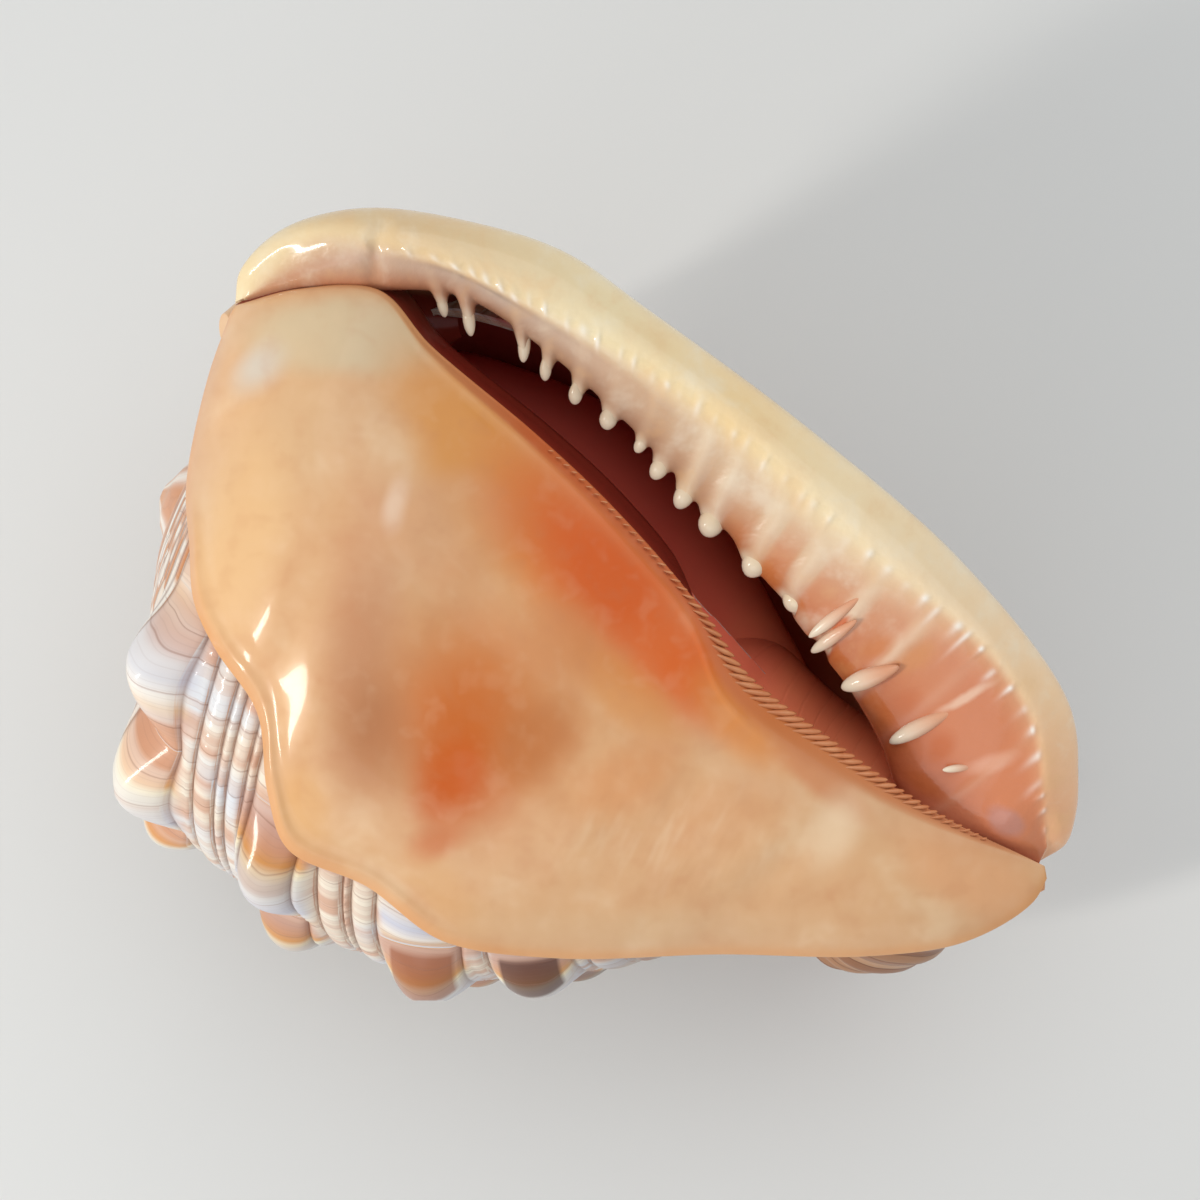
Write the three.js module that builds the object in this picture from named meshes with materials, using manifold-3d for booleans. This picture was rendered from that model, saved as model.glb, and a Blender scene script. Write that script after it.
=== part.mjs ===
// A helmet shell lying on its back, as a three.js scene. Millimetres, +Z up, +X towards the canal end.
// The shell is drawn in its own frame, with the wide flat face level at Z = 0, then set down on its knobs.
import * as THREE from 'three';
import { mergeVertices } from 'three/addons/utils/BufferGeometryUtils.js';
import Module from 'manifold-3d';

const wasm = await Module();
wasm.setup();

// Coiling: the apex, the axis that the whorls turn about, and how fast they grow.
const apex = new THREE.Vector3(-75.7, 18.3, -50);
const axis = new THREE.Vector3(0.9, -0.4155, 0.1305).normalize();
const leftward = new THREE.Vector3(-0.419, -0.908, 0).normalize(); // turn 0 points this way
const upward = new THREE.Vector3(-0.2085, 0.096, 0.978).normalize(); // turn 90 leans back a little
const growth = 1.25; // size gained in one whorl
const faceFlatness = 0.76; // depth over width, on the face
const backFlatness = 0.84; // and on the back
const lipSideWidth = 0.93; // width on the side of the lip over width on the left
const lipTurn = 150; // degrees from leftward, over the face, to where the body whorl ends
const rimLean = 28; // how much further that end reaches beside the canal
const wall = 4;

// Radius of the body whorl along the axis, measured on its left side, from suture to canal.
const whorlProfile = [
  [13.5, 31], [17, 38], [21, 44], [26, 49], [33, 52.5], [43, 54.8], [52, 55.8], [62, 56.6],
  [72, 56], [80, 53.8], [88, 50.5], [97, 45.5], [106, 39.5], [115, 32], [124, 24.5], [131, 18.5], [138, 12],
];
const frontEnd = 138;

// Spiral rows of knobs: place along the axis, height, half length along and half width round, in mm
// and degrees, the turn at which one knob of the row stands, how far it leans back, and the turns over
// which the row sinks where the shield and the lip cover it.
const knobSpacing = 33;
const knobRows = [
  { along: 25, height: 7.5, reach: 8, phase: 24, lean: 35, cover: [[60, 1], [85, 0], [170, 0], [205, 1]] },
  { along: 52, height: 6, reach: 8, phase: -6, lean: 5, cover: [[35, 1], [55, 0], [170, 0], [205, 1]] },
  { along: 79, height: 5.5, reach: 7.5, phase: 5, lean: -15, cover: [[25, 1], [45, 0], [170, 0], [205, 1]] },
  { along: 95, height: 4, reach: 6.5, phase: 3, lean: -30, cover: [[25, 1], [45, 0], [170, 0], [205, 1]] },
];

// Edges of the shield, from its hind corner to the canal: beside the aperture, and free round the left.
const innerEdge = [
  [-59.8, 47.9, -17], [-48, 49.6, -9], [-35.4, 49.1, -6.5], [-27.2, 40.4, -6], [-10.8, 26.6, -6],
  [1.4, 15.1, -6], [15.9, -1.3, -6], [23.1, -12.1, -6], [37.1, -23.1, -6], [52.3, -33.3, -7],
  [72.1, -43.1, -11],
];
const freeEdge = [
  [-59.8, 47.9, -17], [-64.5, 36.3, -21], [-68, 20, -22], [-66.2, 8.8, -13], [-65, 0, -9.5],
  [-61.5, -7.3, -7.5], [-54.5, -17.5, -6], [-53, -30.6, -8], [-50, -40, -11], [-37.5, -46, -12],
  [-25.4, -55.3, -16], [-6.6, -58.5, -19], [19.7, -57.9, -19.5], [44, -57.9, -17], [59.2, -55.4, -15],
  [69.6, -49, -12.4], [72.3, -44, -11],
];
// How far the shield stands above a straight line between its edges.
const shieldRise = [[0, 0], [0.12, 8], [0.3, 11], [0.5, 11.5], [0.7, 10.5], [0.87, 6], [1, 0]];
const shieldRim = 2.4;
// How far the shield reaches in towards the axis, as a share of the way, and how far its foot reaches out
// below the aperture, which it closes at both ends.
const shieldDepth = [[0, 0.15], [0.1, 0.55], [0.2, 1], [0.8, 1], [0.93, 0.6], [1, 0.2]];
const shieldFoot = [[0, 7], [0.1, 7], [0.2, -5], [0.82, -5], [0.93, 7], [1, 7]];

// Outer lip, from the shield's hind corner to the canal: outline, crest and the line of the teeth.
const lipOutline = [
  [-59.6, 48.6, -18], [-58.2, 53.6, -14.5], [-51, 60, -12], [-37.7, 63.1, -10], [-18.4, 60.2, -9],
  [-5.3, 55.7, -9], [7.2, 47.1, -9], [32.8, 28.2, -9], [58.5, 5.8, -9], [75.1, -16, -10],
  [77.2, -28.2, -12], [76.6, -36.4, -13.5], [72.5, -41.9, -15],
];
const lipCrest = [
  [-57.5, 49, -15], [-42.8, 56.2, -4], [-29.1, 55.5, -1], [-8.6, 46.6, 0], [15.7, 31.7, 0],
  [39.2, 11, 0], [60.6, -7.6, -1], [68.4, -19, -3], [70.6, -30.2, -5], [72, -39.8, -12],
];
const toothLine = [
  [-56, 48.5, -17], [-37.6, 49.6, -9], [-22.6, 48.7, -9], [-9.3, 40.4, -9], [7.2, 25.6, -9],
  [19.5, 12.2, -9], [36.1, -5.1, -10], [45.2, -19.4, -13], [62.7, -35, -17], [70.5, -40, -17],
];

// Depth of the lip below its crest, as a share of its full depth.
const lipDepth = [[0, 0.5], [0.12, 1], [0.6, 1], [0.8, 0.8], [0.92, 0.6], [1, 0.4]];

// Centre line and radius of the neck below the shield, the canal that turns back from it, and its bore.
const neckRoute = [[18, -26, -37, 24], [36, -34, -33, 19], [52, -40, -28, 15], [68, -42, -21, 8]];
const canalRoute = [[46, -34, -30, 17], [53, -42, -40, 15.5], [49, -52.2, -51, 13], [43, -55.2, -61, 10.5]];
const canalBore = [[50, -48, -46, 3], [47, -53.2, -56, 6.5], [42, -56.2, -66, 9]];
// The tip of the spire, and the thick corner where the lip and the shield meet behind.
const tipRoute = [
  [-67.5, 14.5, -48.8, 15], [-71, 16.5, -49.3, 10], [-74, 17.7, -49.8, 6], [-76, 18.5, -50, 2],
];
const cornerRoute = [
  [-58, 46, -20, 3], [-52, 46, -25, 8], [-43, 46, -29, 11], [-33, 47, -30, 9], [-23, 47, -28, 3],
];

// Teeth of the outer lip: root and tip in plan, and thickness.
const teeth = [
  [-25.7, 49.5, -25, 45, 3], [-21.4, 48.3, -20.6, 42.4, 3.4], [-11.9, 44.1, -12.3, 38.2, 3.2],
  [-8.6, 38.9, -8.8, 35.2, 2.4], [-3.8, 34.6, -4, 31.5, 2.8], [1.8, 30.9, 1.1, 27.5, 3.2],
  [7.5, 26.5, 6.1, 23.8, 2.8], [10.8, 23.1, 8.8, 19.5, 3.2], [15.1, 19.5, 12.5, 14.6, 3.8],
  [18.8, 15.1, 17.3, 10.2, 3.4], [26.8, 9.1, 23.9, 3.8, 4], [32.8, 2.9, 30.6, -1.8, 3.6],
  [41, -0.6, 36.7, -7.7, 3], [41.1, -3.7, 36.5, -8.2, 3], [48.6, -10.5, 40.5, -13.9, 3.6],
  [56.2, -18.4, 48.1, -22.9, 4], [62, -30, 66.6, -35.4, 4.5],
];

// How the shell is set down: the turns about X and Y that bring it to rest on three knobs of its back, and
// the depth to which those knobs are worn flat.
const restTurns = [8.66, 5.05, 0];
const wornDepth = 0.6;

const radians = THREE.MathUtils.degToRad;
const { smoothstep } = THREE.MathUtils;

// A smooth value through pairs of place and value.
function valueAt(pairs, place) {
  const last = pairs.length - 1;
  const x = THREE.MathUtils.clamp(place, pairs[0][0], pairs[last][0]);
  let i = 0;
  while (i < last - 1 && x > pairs[i + 1][0]) i += 1;
  const slope = (j) => {
    const before = pairs[Math.max(j - 1, 0)];
    const after = pairs[Math.min(j + 1, last)];
    return (after[1] - before[1]) / (after[0] - before[0]);
  };
  const width = pairs[i + 1][0] - pairs[i][0];
  const t = (x - pairs[i][0]) / width;
  const rise = pairs[i + 1][1] - pairs[i][1];
  const bend = (slope(i) * width - rise) * (1 - t) + (rise - slope(i + 1) * width) * t;
  return pairs[i][1] + rise * t + t * (1 - t) * bend;
}

function curveThrough(points) {
  const places = points.map(([x, y, z]) => new THREE.Vector3(x, y, z));
  return new THREE.CatmullRomCurve3(places, false, 'centripetal');
}

// A closed solid through a row of closed rings, its two ends filled.
function loft(rings) {
  const around = rings[0].length;
  const points = rings.flat();
  const faces = [];
  for (let i = 0; i < rings.length - 1; i += 1) {
    for (let j = 0; j < around; j += 1) {
      const a = i * around + j;
      const b = i * around + (j + 1) % around;
      faces.push(a, b, b + around, a, b + around, a + around);
    }
  }
  for (const ring of [rings[0], rings.at(-1)]) {
    const middle = ring.reduce((sum, p) => sum.add(p), new THREE.Vector3()).divideScalar(around);
    const start = ring === rings[0] ? 0 : (rings.length - 1) * around;
    for (let j = 0; j < around; j += 1) {
      const pair = [start + j, start + (j + 1) % around];
      faces.push(points.length, ...(start === 0 ? pair.reverse() : pair));
    }
    points.push(middle);
  }
  return solid(points, faces);
}

function solid(points, faces) {
  const geometry = new THREE.BufferGeometry().setFromPoints(points);
  let volume = 0;
  for (let i = 0; i < faces.length; i += 3) {
    const [a, b, c] = faces.slice(i, i + 3).map((n) => points[n]);
    volume += a.dot(b.clone().cross(c));
  }
  geometry.setIndex(volume > 0 ? faces : faces.toReversed());
  const merged = mergeVertices(geometry, 1e-4);
  return new wasm.Manifold(new wasm.Mesh({
    numProp: 3,
    vertProperties: merged.attributes.position.array,
    triVerts: new Uint32Array(merged.index.array),
  }));
}

// Size of the shell where a whorl has reached this turn, against its size on the left of the body whorl.
function sizeAt(turn) {
  return growth ** ((360 - turn) / 360);
}

// How far the knobs push the surface out, and along the axis, at one place of the body whorl.
function knobPush(along, turn) {
  const push = { out: 0, along: 0 };
  for (const row of knobRows) {
    const shown = turn > lipTurn + 360 ? 1 : valueAt(row.cover, turn > 360 ? turn - 360 : turn);
    const down = Math.abs(along - row.along) / row.reach;
    const steps = (turn - row.phase) / knobSpacing;
    const aside = Math.abs(steps - Math.round(steps)) * 2;
    if (down >= 1) continue;
    const lift = row.height * shown * Math.cos(down * Math.PI / 2) ** 1.5 * (1 - aside ** 1.6);
    push.out += lift * Math.cos(radians(row.lean));
    push.along -= lift * Math.sin(radians(row.lean));
  }
  return push;
}

// A point of the shell's coil, by its turn, its place along the axis and its radius, before growth.
function coilPoint(turn, along, radius) {
  const size = sizeAt(turn);
  const height = Math.sin(radians(turn));
  const left = Math.cos(radians(turn));
  return apex.clone()
    .addScaledVector(axis, along * size)
    .addScaledVector(leftward, radius * size * left * (left > 0 ? 1 : lipSideWidth))
    .addScaledVector(upward, radius * size * height * (height > 0 ? faceFlatness : backFlatness));
}

// The rim of the body whorl leans forward towards the canal: a turn moved on by that lean.
function leanedTurn(turn, along) {
  return turn - rimLean * smoothstep(along, 80, 130) * (1 - smoothstep(turn, lipTurn, lipTurn + 70));
}

// The shoulder of the body whorl sinks onto the whorl before it where it runs under the lip.
function shoulderSize(turn, along) {
  const near = 1 - smoothstep(turn, lipTurn, lipTurn + 45);
  return 1 - (1 - 1 / growth) * near * (1 - smoothstep(along, 18, 36));
}

// Part of the coil, filled to the axis, from one turn to another.
function whorl(from, to, lastAlong, inset, columns) {
  const rings = [];
  for (let i = 0; i <= columns; i += 1) {
    const turn = from + (to - from) * i / columns;
    const ring = [];
    for (let along = 13.5; along < lastAlong; along += along < 98 ? 4.7 : 8) {
      const push = knobPush(along, turn);
      const sunk = shoulderSize(turn, along);
      const radius = valueAt(whorlProfile, along) + push.out - inset;
      ring.push(coilPoint(leanedTurn(turn, along), (along + push.along) * sunk, radius * sunk));
    }
    const lastTurn = leanedTurn(turn, lastAlong);
    ring.push(coilPoint(lastTurn, lastAlong, valueAt(whorlProfile, lastAlong) - inset));
    ring.push(coilPoint(lastTurn, lastAlong - inset, 2), coilPoint(turn, 20, 2));
    rings.push(ring);
  }
  return loft(rings);
}

// The hollow of the body whorl, which opens along the aperture.
function hollow() {
  const rings = [];
  const places = [23, 30, 42, 58, 74, 90, 106, 120, 130];
  for (let turn = lipTurn - 12; turn <= 330; turn += 12) {
    const shrink = smoothstep(turn, 250, 340);
    const open = 1 - smoothstep(turn, lipTurn, lipTurn + 60);
    const thick = wall * (1 + shrink - 0.7 * open);
    const reaches = places.map((along) => along * (1 - 0.35 * shrink) + 8 * shrink);
    const at = (reach, radius) => {
      const sunk = shoulderSize(turn, reach);
      return coilPoint(leanedTurn(turn, reach), reach * sunk, radius * sunk);
    };
    const outer = reaches.map((reach) => at(reach, valueAt(whorlProfile, reach) - thick));
    const inner = reaches.toReversed().map((reach) => {
      const before = valueAt(whorlProfile, reach * growth) / growth + thick - wall * 2.5 * open;
      const outside = valueAt(whorlProfile, reach) - thick;
      return at(reach, Math.min(before, outside - 3 * (1 - shrink) - 1));
    });
    rings.push([...outer, ...inner]);
  }
  return loft(rings);
}

// The smooth shield spread over the face, from the aperture to its free edge round the left.
function shield() {
  const inner = curveThrough(innerEdge);
  const free = curveThrough(freeEdge);
  const stations = 30;
  const across = 8;
  const rings = [];
  for (let i = 0; i <= stations; i += 1) {
    const u = THREE.MathUtils.lerp(0.004, 0.996, i / stations);
    const a = inner.getPointAt(u);
    const b = free.getPointAt(u);
    const along = inner.getTangentAt(u);
    const outward = new THREE.Vector3(-along.y, along.x, 0).normalize();
    const toMiddle = a.clone().sub(b).setZ(0);
    const room = toMiddle.length();
    toMiddle.normalize();
    const small = Math.min(1, room / 35);
    const ring = [];
    for (let j = 0; j <= across; j += 1) {
      const w = j / across;
      const rise = valueAt(shieldRise, u) * (4 * w * (1 - w)) ** 0.9;
      ring.push(a.clone().lerp(b, w).add(new THREE.Vector3(0, 0, rise)));
    }
    const middle = a.clone().lerp(b, 0.5);
    const centre = apex.clone().addScaledVector(axis, middle.clone().sub(apex).dot(axis));
    const heart = middle.clone().lerp(centre, valueAt(shieldDepth, u));
    const under = (p, side, distance, drop) => {
      return p.clone().addScaledVector(side, distance * small).add(new THREE.Vector3(0, 0, -drop * small));
    };
    ring.push(under(b, toMiddle, 1.5, shieldRim), under(b, toMiddle, 12, shieldRim + 4));
    ring.push(heart.clone().addScaledVector(toMiddle, -2), heart.clone().addScaledVector(toMiddle, 2));
    const foot = valueAt(shieldFoot, u);
    ring.push(under(a, outward, foot, 13), under(a, outward, Math.max(foot * 0.6, 0.4), 7));
    ring.push(under(a, outward, 0.8, 2.5));
    rings.push(ring);
  }
  return loft(rings);
}

// The thick rolled outer lip.
function outerLip() {
  const outline = curveThrough(lipOutline);
  const crest = curveThrough(lipCrest);
  const line = curveThrough(toothLine);
  const stations = 34;
  const rings = [];
  for (let i = 0; i <= stations; i += 1) {
    const u = i / stations;
    const o = outline.getPointAt(u);
    const c = crest.getPointAt(u);
    const t = line.getPointAt(u);
    const out = o.clone().sub(t).setZ(0);
    const small = Math.min(1, out.length() / 12) * valueAt(lipDepth, u);
    out.normalize();
    const beside = (p, distance, drop) => {
      return p.clone().addScaledVector(out, distance * small).add(new THREE.Vector3(0, 0, -drop * small));
    };
    const slope = t.clone().lerp(c, 0.5).add(new THREE.Vector3(0, 0, 1.5 * small));
    const roll = c.clone().lerp(o, 0.6).add(new THREE.Vector3(0, 0, 3 * small));
    rings.push([
      t, slope, beside(c, -1.5, 0.3), beside(c, 1.5, 0.1), roll, beside(o, -0.6, -2.5), beside(o, -0.4, 3),
      beside(o, -3.5, 8), beside(o, -9, 15), beside(o, -10, 22), beside(t, 7, 19), beside(t, 2, 7),
    ]);
  }
  return loft(rings);
}

// A round tube along a route of points, each with a radius, filled.
function tube(route, stations, around) {
  const curve = curveThrough(route);
  const radii = route.map(([, , , radius], i) => [i / (route.length - 1), radius]);
  const rings = [];
  for (let i = 0; i <= stations; i += 1) {
    const u = i / stations;
    const centre = curve.getPoint(u);
    const ahead = curve.getTangent(u);
    const across = new THREE.Vector3(0.42, 0.9, 0.1).cross(ahead).normalize();
    const side = across.clone().cross(ahead).normalize();
    const ring = [];
    for (let j = 0; j < around; j += 1) {
      const angle = j / around * Math.PI * 2;
      ring.push(centre.clone()
        .addScaledVector(across, valueAt(radii, u) * Math.cos(angle))
        .addScaledVector(side, valueAt(radii, u) * Math.sin(angle)));
    }
    rings.push(ring);
  }
  return loft(rings);
}

// One tooth: a rounded ridge that grows out of the slope of the lip and ends over the aperture.
function tooth([rootX, rootY, tipX, tipY, thick]) {
  const root = new THREE.Vector3(rootX, rootY, -7.5);
  const tip = new THREE.Vector3(tipX, tipY, -11);
  const ahead = tip.clone().sub(root);
  const side = ahead.clone().cross(new THREE.Vector3(0, 0, 1)).normalize();
  const rings = [];
  for (const [place, size] of [[-1.2, 0.3], [0, 0.9], [0.8, 1.2], [1.1, 0.5]]) {
    const centre = root.clone().addScaledVector(ahead, place);
    const ring = [];
    for (let j = 0; j < 6; j += 1) {
      const angle = (j + 0.5) / 6 * Math.PI * 2;
      ring.push(centre.clone()
        .addScaledVector(side, thick * 0.55 * size * Math.cos(angle))
        .add(new THREE.Vector3(0, 0, thick * 0.6 * size * Math.sin(angle) - (1 - place) * 1.2)));
    }
    rings.push(ring);
  }
  return loft(rings);
}

const whorls = [whorl(lipTurn, 500, frontEnd, 0, 53), whorl(490, 840, 34, 0.2, 42)];
for (let turn = 830; turn < 1600; turn += 340) whorls.push(whorl(turn, turn + 350, 34, 0.2, 20));
const core = [8, 70, 132].map((along) => [...apex.clone().addScaledVector(axis, along), 5]);
const ends = [
  tube(core, 4, 6), tube(neckRoute, 6, 12), tube(canalRoute, 6, 12), tube(tipRoute, 4, 12),
  tube(cornerRoute, 5, 10),
];
const walled = wasm.Manifold.union([...whorls, ...ends]);
const hollowed = walled.subtract(hollow()).subtract(tube(canalBore, 3, 10));
const whole = wasm.Manifold.union([hollowed, shield(), outerLip(), ...teeth.map(tooth)]).simplify(0.1);

// Set the shell down: turn it to its resting pose, stand its lowest knobs at Z = 0 and wear them flat.
function setDown(shell) {
  const turned = shell.rotate(restTurns);
  const box = turned.boundingBox();
  const middle = [(box.min[0] + box.max[0]) / 2, (box.min[1] + box.max[1]) / 2];
  const lowered = turned.translate([-middle[0], -middle[1], -box.min[2] - wornDepth]);
  return lowered.trimByPlane([0, 0, 1], 0);
}

function meshOf(shell, name, material) {
  const { vertProperties, triVerts } = shell.getMesh();
  const geometry = new THREE.BufferGeometry();
  geometry.setAttribute('position', new THREE.BufferAttribute(vertProperties, 3));
  geometry.setIndex(new THREE.BufferAttribute(triVerts, 1));
  geometry.computeVertexNormals();
  const mesh = new THREE.Mesh(geometry, material);
  mesh.name = name;
  return mesh;
}

const glossyShell = new THREE.MeshStandardMaterial({ color: 0xdcb48a, roughness: 0.3, metalness: 0 });

const helmetShell = new THREE.Group();
helmetShell.name = 'helmet_shell';
helmetShell.add(meshOf(setDown(whole), 'shell', glossyShell));

export default helmetShell;
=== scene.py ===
import math
import bpy
import numpy as np
from mathutils import Matrix, Vector


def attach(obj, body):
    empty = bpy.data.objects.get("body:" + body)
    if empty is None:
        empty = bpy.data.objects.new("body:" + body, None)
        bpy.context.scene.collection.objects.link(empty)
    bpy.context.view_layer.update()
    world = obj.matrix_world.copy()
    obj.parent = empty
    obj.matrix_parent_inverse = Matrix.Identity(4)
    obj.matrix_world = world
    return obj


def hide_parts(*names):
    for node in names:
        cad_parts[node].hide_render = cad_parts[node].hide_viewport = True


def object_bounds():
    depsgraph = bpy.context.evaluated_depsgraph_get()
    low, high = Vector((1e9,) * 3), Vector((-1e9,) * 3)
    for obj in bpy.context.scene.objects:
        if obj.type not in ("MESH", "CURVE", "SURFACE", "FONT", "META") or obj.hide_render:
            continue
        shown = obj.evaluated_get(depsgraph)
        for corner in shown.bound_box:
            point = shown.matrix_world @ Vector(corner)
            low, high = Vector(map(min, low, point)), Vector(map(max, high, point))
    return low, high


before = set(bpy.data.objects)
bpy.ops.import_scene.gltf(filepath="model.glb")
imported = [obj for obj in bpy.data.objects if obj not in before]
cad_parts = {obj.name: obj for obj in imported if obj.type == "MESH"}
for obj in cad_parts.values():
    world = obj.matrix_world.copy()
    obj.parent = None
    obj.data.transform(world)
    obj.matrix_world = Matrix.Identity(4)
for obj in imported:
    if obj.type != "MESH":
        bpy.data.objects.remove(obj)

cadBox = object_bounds()
scene = bpy.context.scene
scene.view_settings.view_transform = "Standard"


# The shell is drawn in millimetres in its face frame: x to the canal end, y to the outer lip, z out of
# the aperture. It is then turned and lowered onto its knobs, and everything below uses this one matrix.
setDown = {
    "turnX": 8.66,                            # degrees, first
    "turnY": 5.05,                            # degrees, second
    "shift": (4.3329, -1.0848, 92.5024),      # mm, from the face frame to the resting place
}
faceTurn = (Matrix.Rotation(math.radians(setDown["turnY"]), 3, "Y")
            @ Matrix.Rotation(math.radians(setDown["turnX"]), 3, "X"))


def place(points):
    # face frame in mm to the resting place in metres, kept inside the solid's own box
    turned = np.asarray(points, float) @ np.array(faceTurn).T + np.array(setDown["shift"])
    low, high = (np.array(corner) for corner in cadBox)
    return np.clip(turned / 1000, low, high)


def paint(red, green, blue):
    # screen colour, 0 to 255, as the linear colour that nodes take
    def one(value):
        value /= 255
        return value / 12.92 if value <= 0.04045 else ((value + 0.055) / 1.055) ** 2.4
    return (one(red), one(green), one(blue), 1.0)


def smooth(value, low, high):
    t = np.clip((np.asarray(value, float) - low) / (high - low), 0, 1)
    return t * t * (3 - 2 * t)


def bell(distance, width):
    return np.exp(-(np.asarray(distance) / width) ** 2)


def unit(v):
    v = np.asarray(v, float)
    return v / np.linalg.norm(v, axis=-1, keepdims=True)


def valueAt(pairs, where):
    # smooth curve through pairs of place and value
    x, y = np.array(pairs, float).T
    where = np.clip(np.asarray(where, float), x[0], x[-1])
    i = np.clip(np.searchsorted(x, where, side="left") - 1, 0, len(x) - 2)
    slope = np.empty(len(x))
    slope[1:-1] = (y[2:] - y[:-2]) / (x[2:] - x[:-2])
    slope[0] = (y[1] - y[0]) / (x[1] - x[0])
    slope[-1] = (y[-1] - y[-2]) / (x[-1] - x[-2])
    width = x[i + 1] - x[i]
    t = (where - x[i]) / width
    rise = y[i + 1] - y[i]
    bend = (slope[i] * width - rise) * (1 - t) + (rise - slope[i + 1] * width) * t
    return y[i] + rise * t + t * (1 - t) * bend


def through(points, where, byLength=True):
    # centripetal curve through the points, and its direction
    p = np.array(points, float)
    p = np.vstack([2 * p[0] - p[1], p, 2 * p[-1] - p[-2]])
    count = len(points) - 1

    def at(s):
        s = np.clip(s, 0, count)
        i = np.minimum(s.astype(int), count - 1)
        t = (s - i)[:, None]
        a, b, c, d = p[i], p[i + 1], p[i + 2], p[i + 3]
        ab, bc, cd = (np.linalg.norm(v, axis=1)[:, None] ** 0.5 for v in (b - a, c - b, d - c))
        m1 = ((b - a) / ab - (c - a) / (ab + bc) + (c - b) / bc) * bc
        m2 = ((c - b) / bc - (d - b) / (bc + cd) + (d - c) / cd) * bc
        return b + m1 * t + (-3 * b + 3 * c - 2 * m1 - m2) * t ** 2 + (2 * b - 2 * c + m1 + m2) * t ** 3

    where = np.atleast_1d(np.asarray(where, float))
    s = where * count
    if byLength:
        fine = np.linspace(0, count, 3000)
        run = np.concatenate([[0], np.linalg.norm(np.diff(at(fine), axis=0), axis=1).cumsum()])
        s = np.interp(where * run[-1], run, fine)
    return at(s), unit(at(s + 0.002) - at(s - 0.002))


def closedThrough(rings, steps):
    # rings of a few points, rounded into rings of steps times as many
    p = [np.roll(rings, shift, axis=1) for shift in (1, 0, -1, -2)]
    gaps = [np.maximum(np.linalg.norm(p[k + 1] - p[k], axis=2, keepdims=True), 1e-4) ** 0.5 for k in range(3)]
    m1 = ((p[1] - p[0]) / gaps[0] - (p[2] - p[0]) / (gaps[0] + gaps[1]) + (p[2] - p[1]) / gaps[1]) * gaps[1]
    m2 = ((p[2] - p[1]) / gaps[1] - (p[3] - p[1]) / (gaps[1] + gaps[2]) + (p[3] - p[2]) / gaps[2]) * gaps[1]
    parts = []
    for t in np.arange(steps) / steps:
        parts.append(p[1] + m1 * t + (3 * (p[2] - p[1]) - 2 * m1 - m2) * t ** 2
                     + (2 * (p[1] - p[2]) + m1 + m2) * t ** 3)
    return np.stack(parts, axis=2).reshape(rings.shape[0], -1, 3)


def loft(name, rings, marks, sharp=55):
    # closed mesh through a row of closed rings, with a value at each point for every mark
    rows, around = rings.shape[:2]
    flat = rings.reshape(-1, 3)
    verts = place(np.vstack([flat, rings[0].mean(0), rings[-1].mean(0)]))
    i = np.arange(rows - 1)[:, None] * around
    j = np.arange(around)[None, :]
    after = (j + 1) % around
    quads = np.stack([i + j, i + after, i + around + after, i + around + j], -1).reshape(-1, 4).tolist()
    last = (rows - 1) * around
    fans = []
    for k in range(around):
        following = (k + 1) % around
        fans.append((rows * around, following, k))
        fans.append((rows * around + 1, last + k, last + following))
    faces = quads + fans
    a, b, c, d = (verts[np.array(quads)[:, k]] for k in range(4))
    volume = (a * np.cross(b, c)).sum() + (a * np.cross(c, d)).sum()
    if volume < 0:
        faces = [tuple(reversed(face)) for face in faces]
    mesh = bpy.data.meshes.new(name)
    mesh.from_pydata(verts.tolist(), [], faces)
    mesh.polygons.foreach_set("use_smooth", np.ones(len(faces), bool))
    mesh.set_sharp_from_angle(angle=math.radians(sharp))
    for mark, values in {**marks, "faceX": rings[..., 0], "faceY": rings[..., 1]}.items():
        full = np.broadcast_to(values, (rows, around)).reshape(-1)
        full = np.concatenate([full, [full[:around].mean(), full[last:].mean()]])
        mesh.attributes.new(mark, "FLOAT", "POINT").data.foreach_set("value", full.astype(np.float32))
    piece = bpy.data.objects.new(name, mesh)
    scene.collection.objects.link(piece)
    return piece


def finishPiece(piece, *materials):
    for material in materials:
        if material.name not in piece.data.materials:
            piece.data.materials.append(material)
    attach(piece, "root")
    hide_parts("shell")
    print("made", piece.name, len(piece.data.polygons), "faces")


def bake(piece):
    # the piece with its modifiers, as a plain mesh
    depsgraph = bpy.context.evaluated_depsgraph_get()
    mesh = bpy.data.meshes.new_from_object(piece.evaluated_get(depsgraph))
    piece.modifiers.clear()
    piece.data = mesh
    mesh.name = piece.name
    return piece


# Node helpers

def add(tree, kind, inputs=None, **settings):
    made = tree.nodes.new(kind)
    for key, value in settings.items():
        setattr(made, key, value)
    for key, value in (inputs or {}).items():
        if isinstance(value, bpy.types.NodeSocket):
            tree.links.new(value, made.inputs[key])
        else:
            made.inputs[key].default_value = value
    return made


def maths(tree, operation, a, b=0.0, c=0.0):
    return add(tree, "ShaderNodeMath", {0: a, 1: b, 2: c}, operation=operation).outputs[0]


def vectorMaths(tree, operation, a, b=(0, 0, 0)):
    return add(tree, "ShaderNodeVectorMath", {0: a, 1: b}, operation=operation).outputs[0]


def turnFlat(tree, vector, angle):
    turned = add(tree, "ShaderNodeVectorRotate", {"Vector": vector, "Angle": angle}, rotation_type="Z_AXIS")
    return turned.outputs[0]


def blend(tree, factor, a, b):
    return add(tree, "ShaderNodeMix", {0: factor, 6: a, 7: b}, data_type="RGBA").outputs[2]


def ramp(tree, factor, stops):
    made = add(tree, "ShaderNodeValToRGB", {0: factor})
    elements = made.color_ramp.elements
    while len(elements) < len(stops):
        elements.new(0.5)
    for element, (position, colour) in zip(elements, stops):
        element.position = position
        element.color = colour
    return made.outputs[0]


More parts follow.
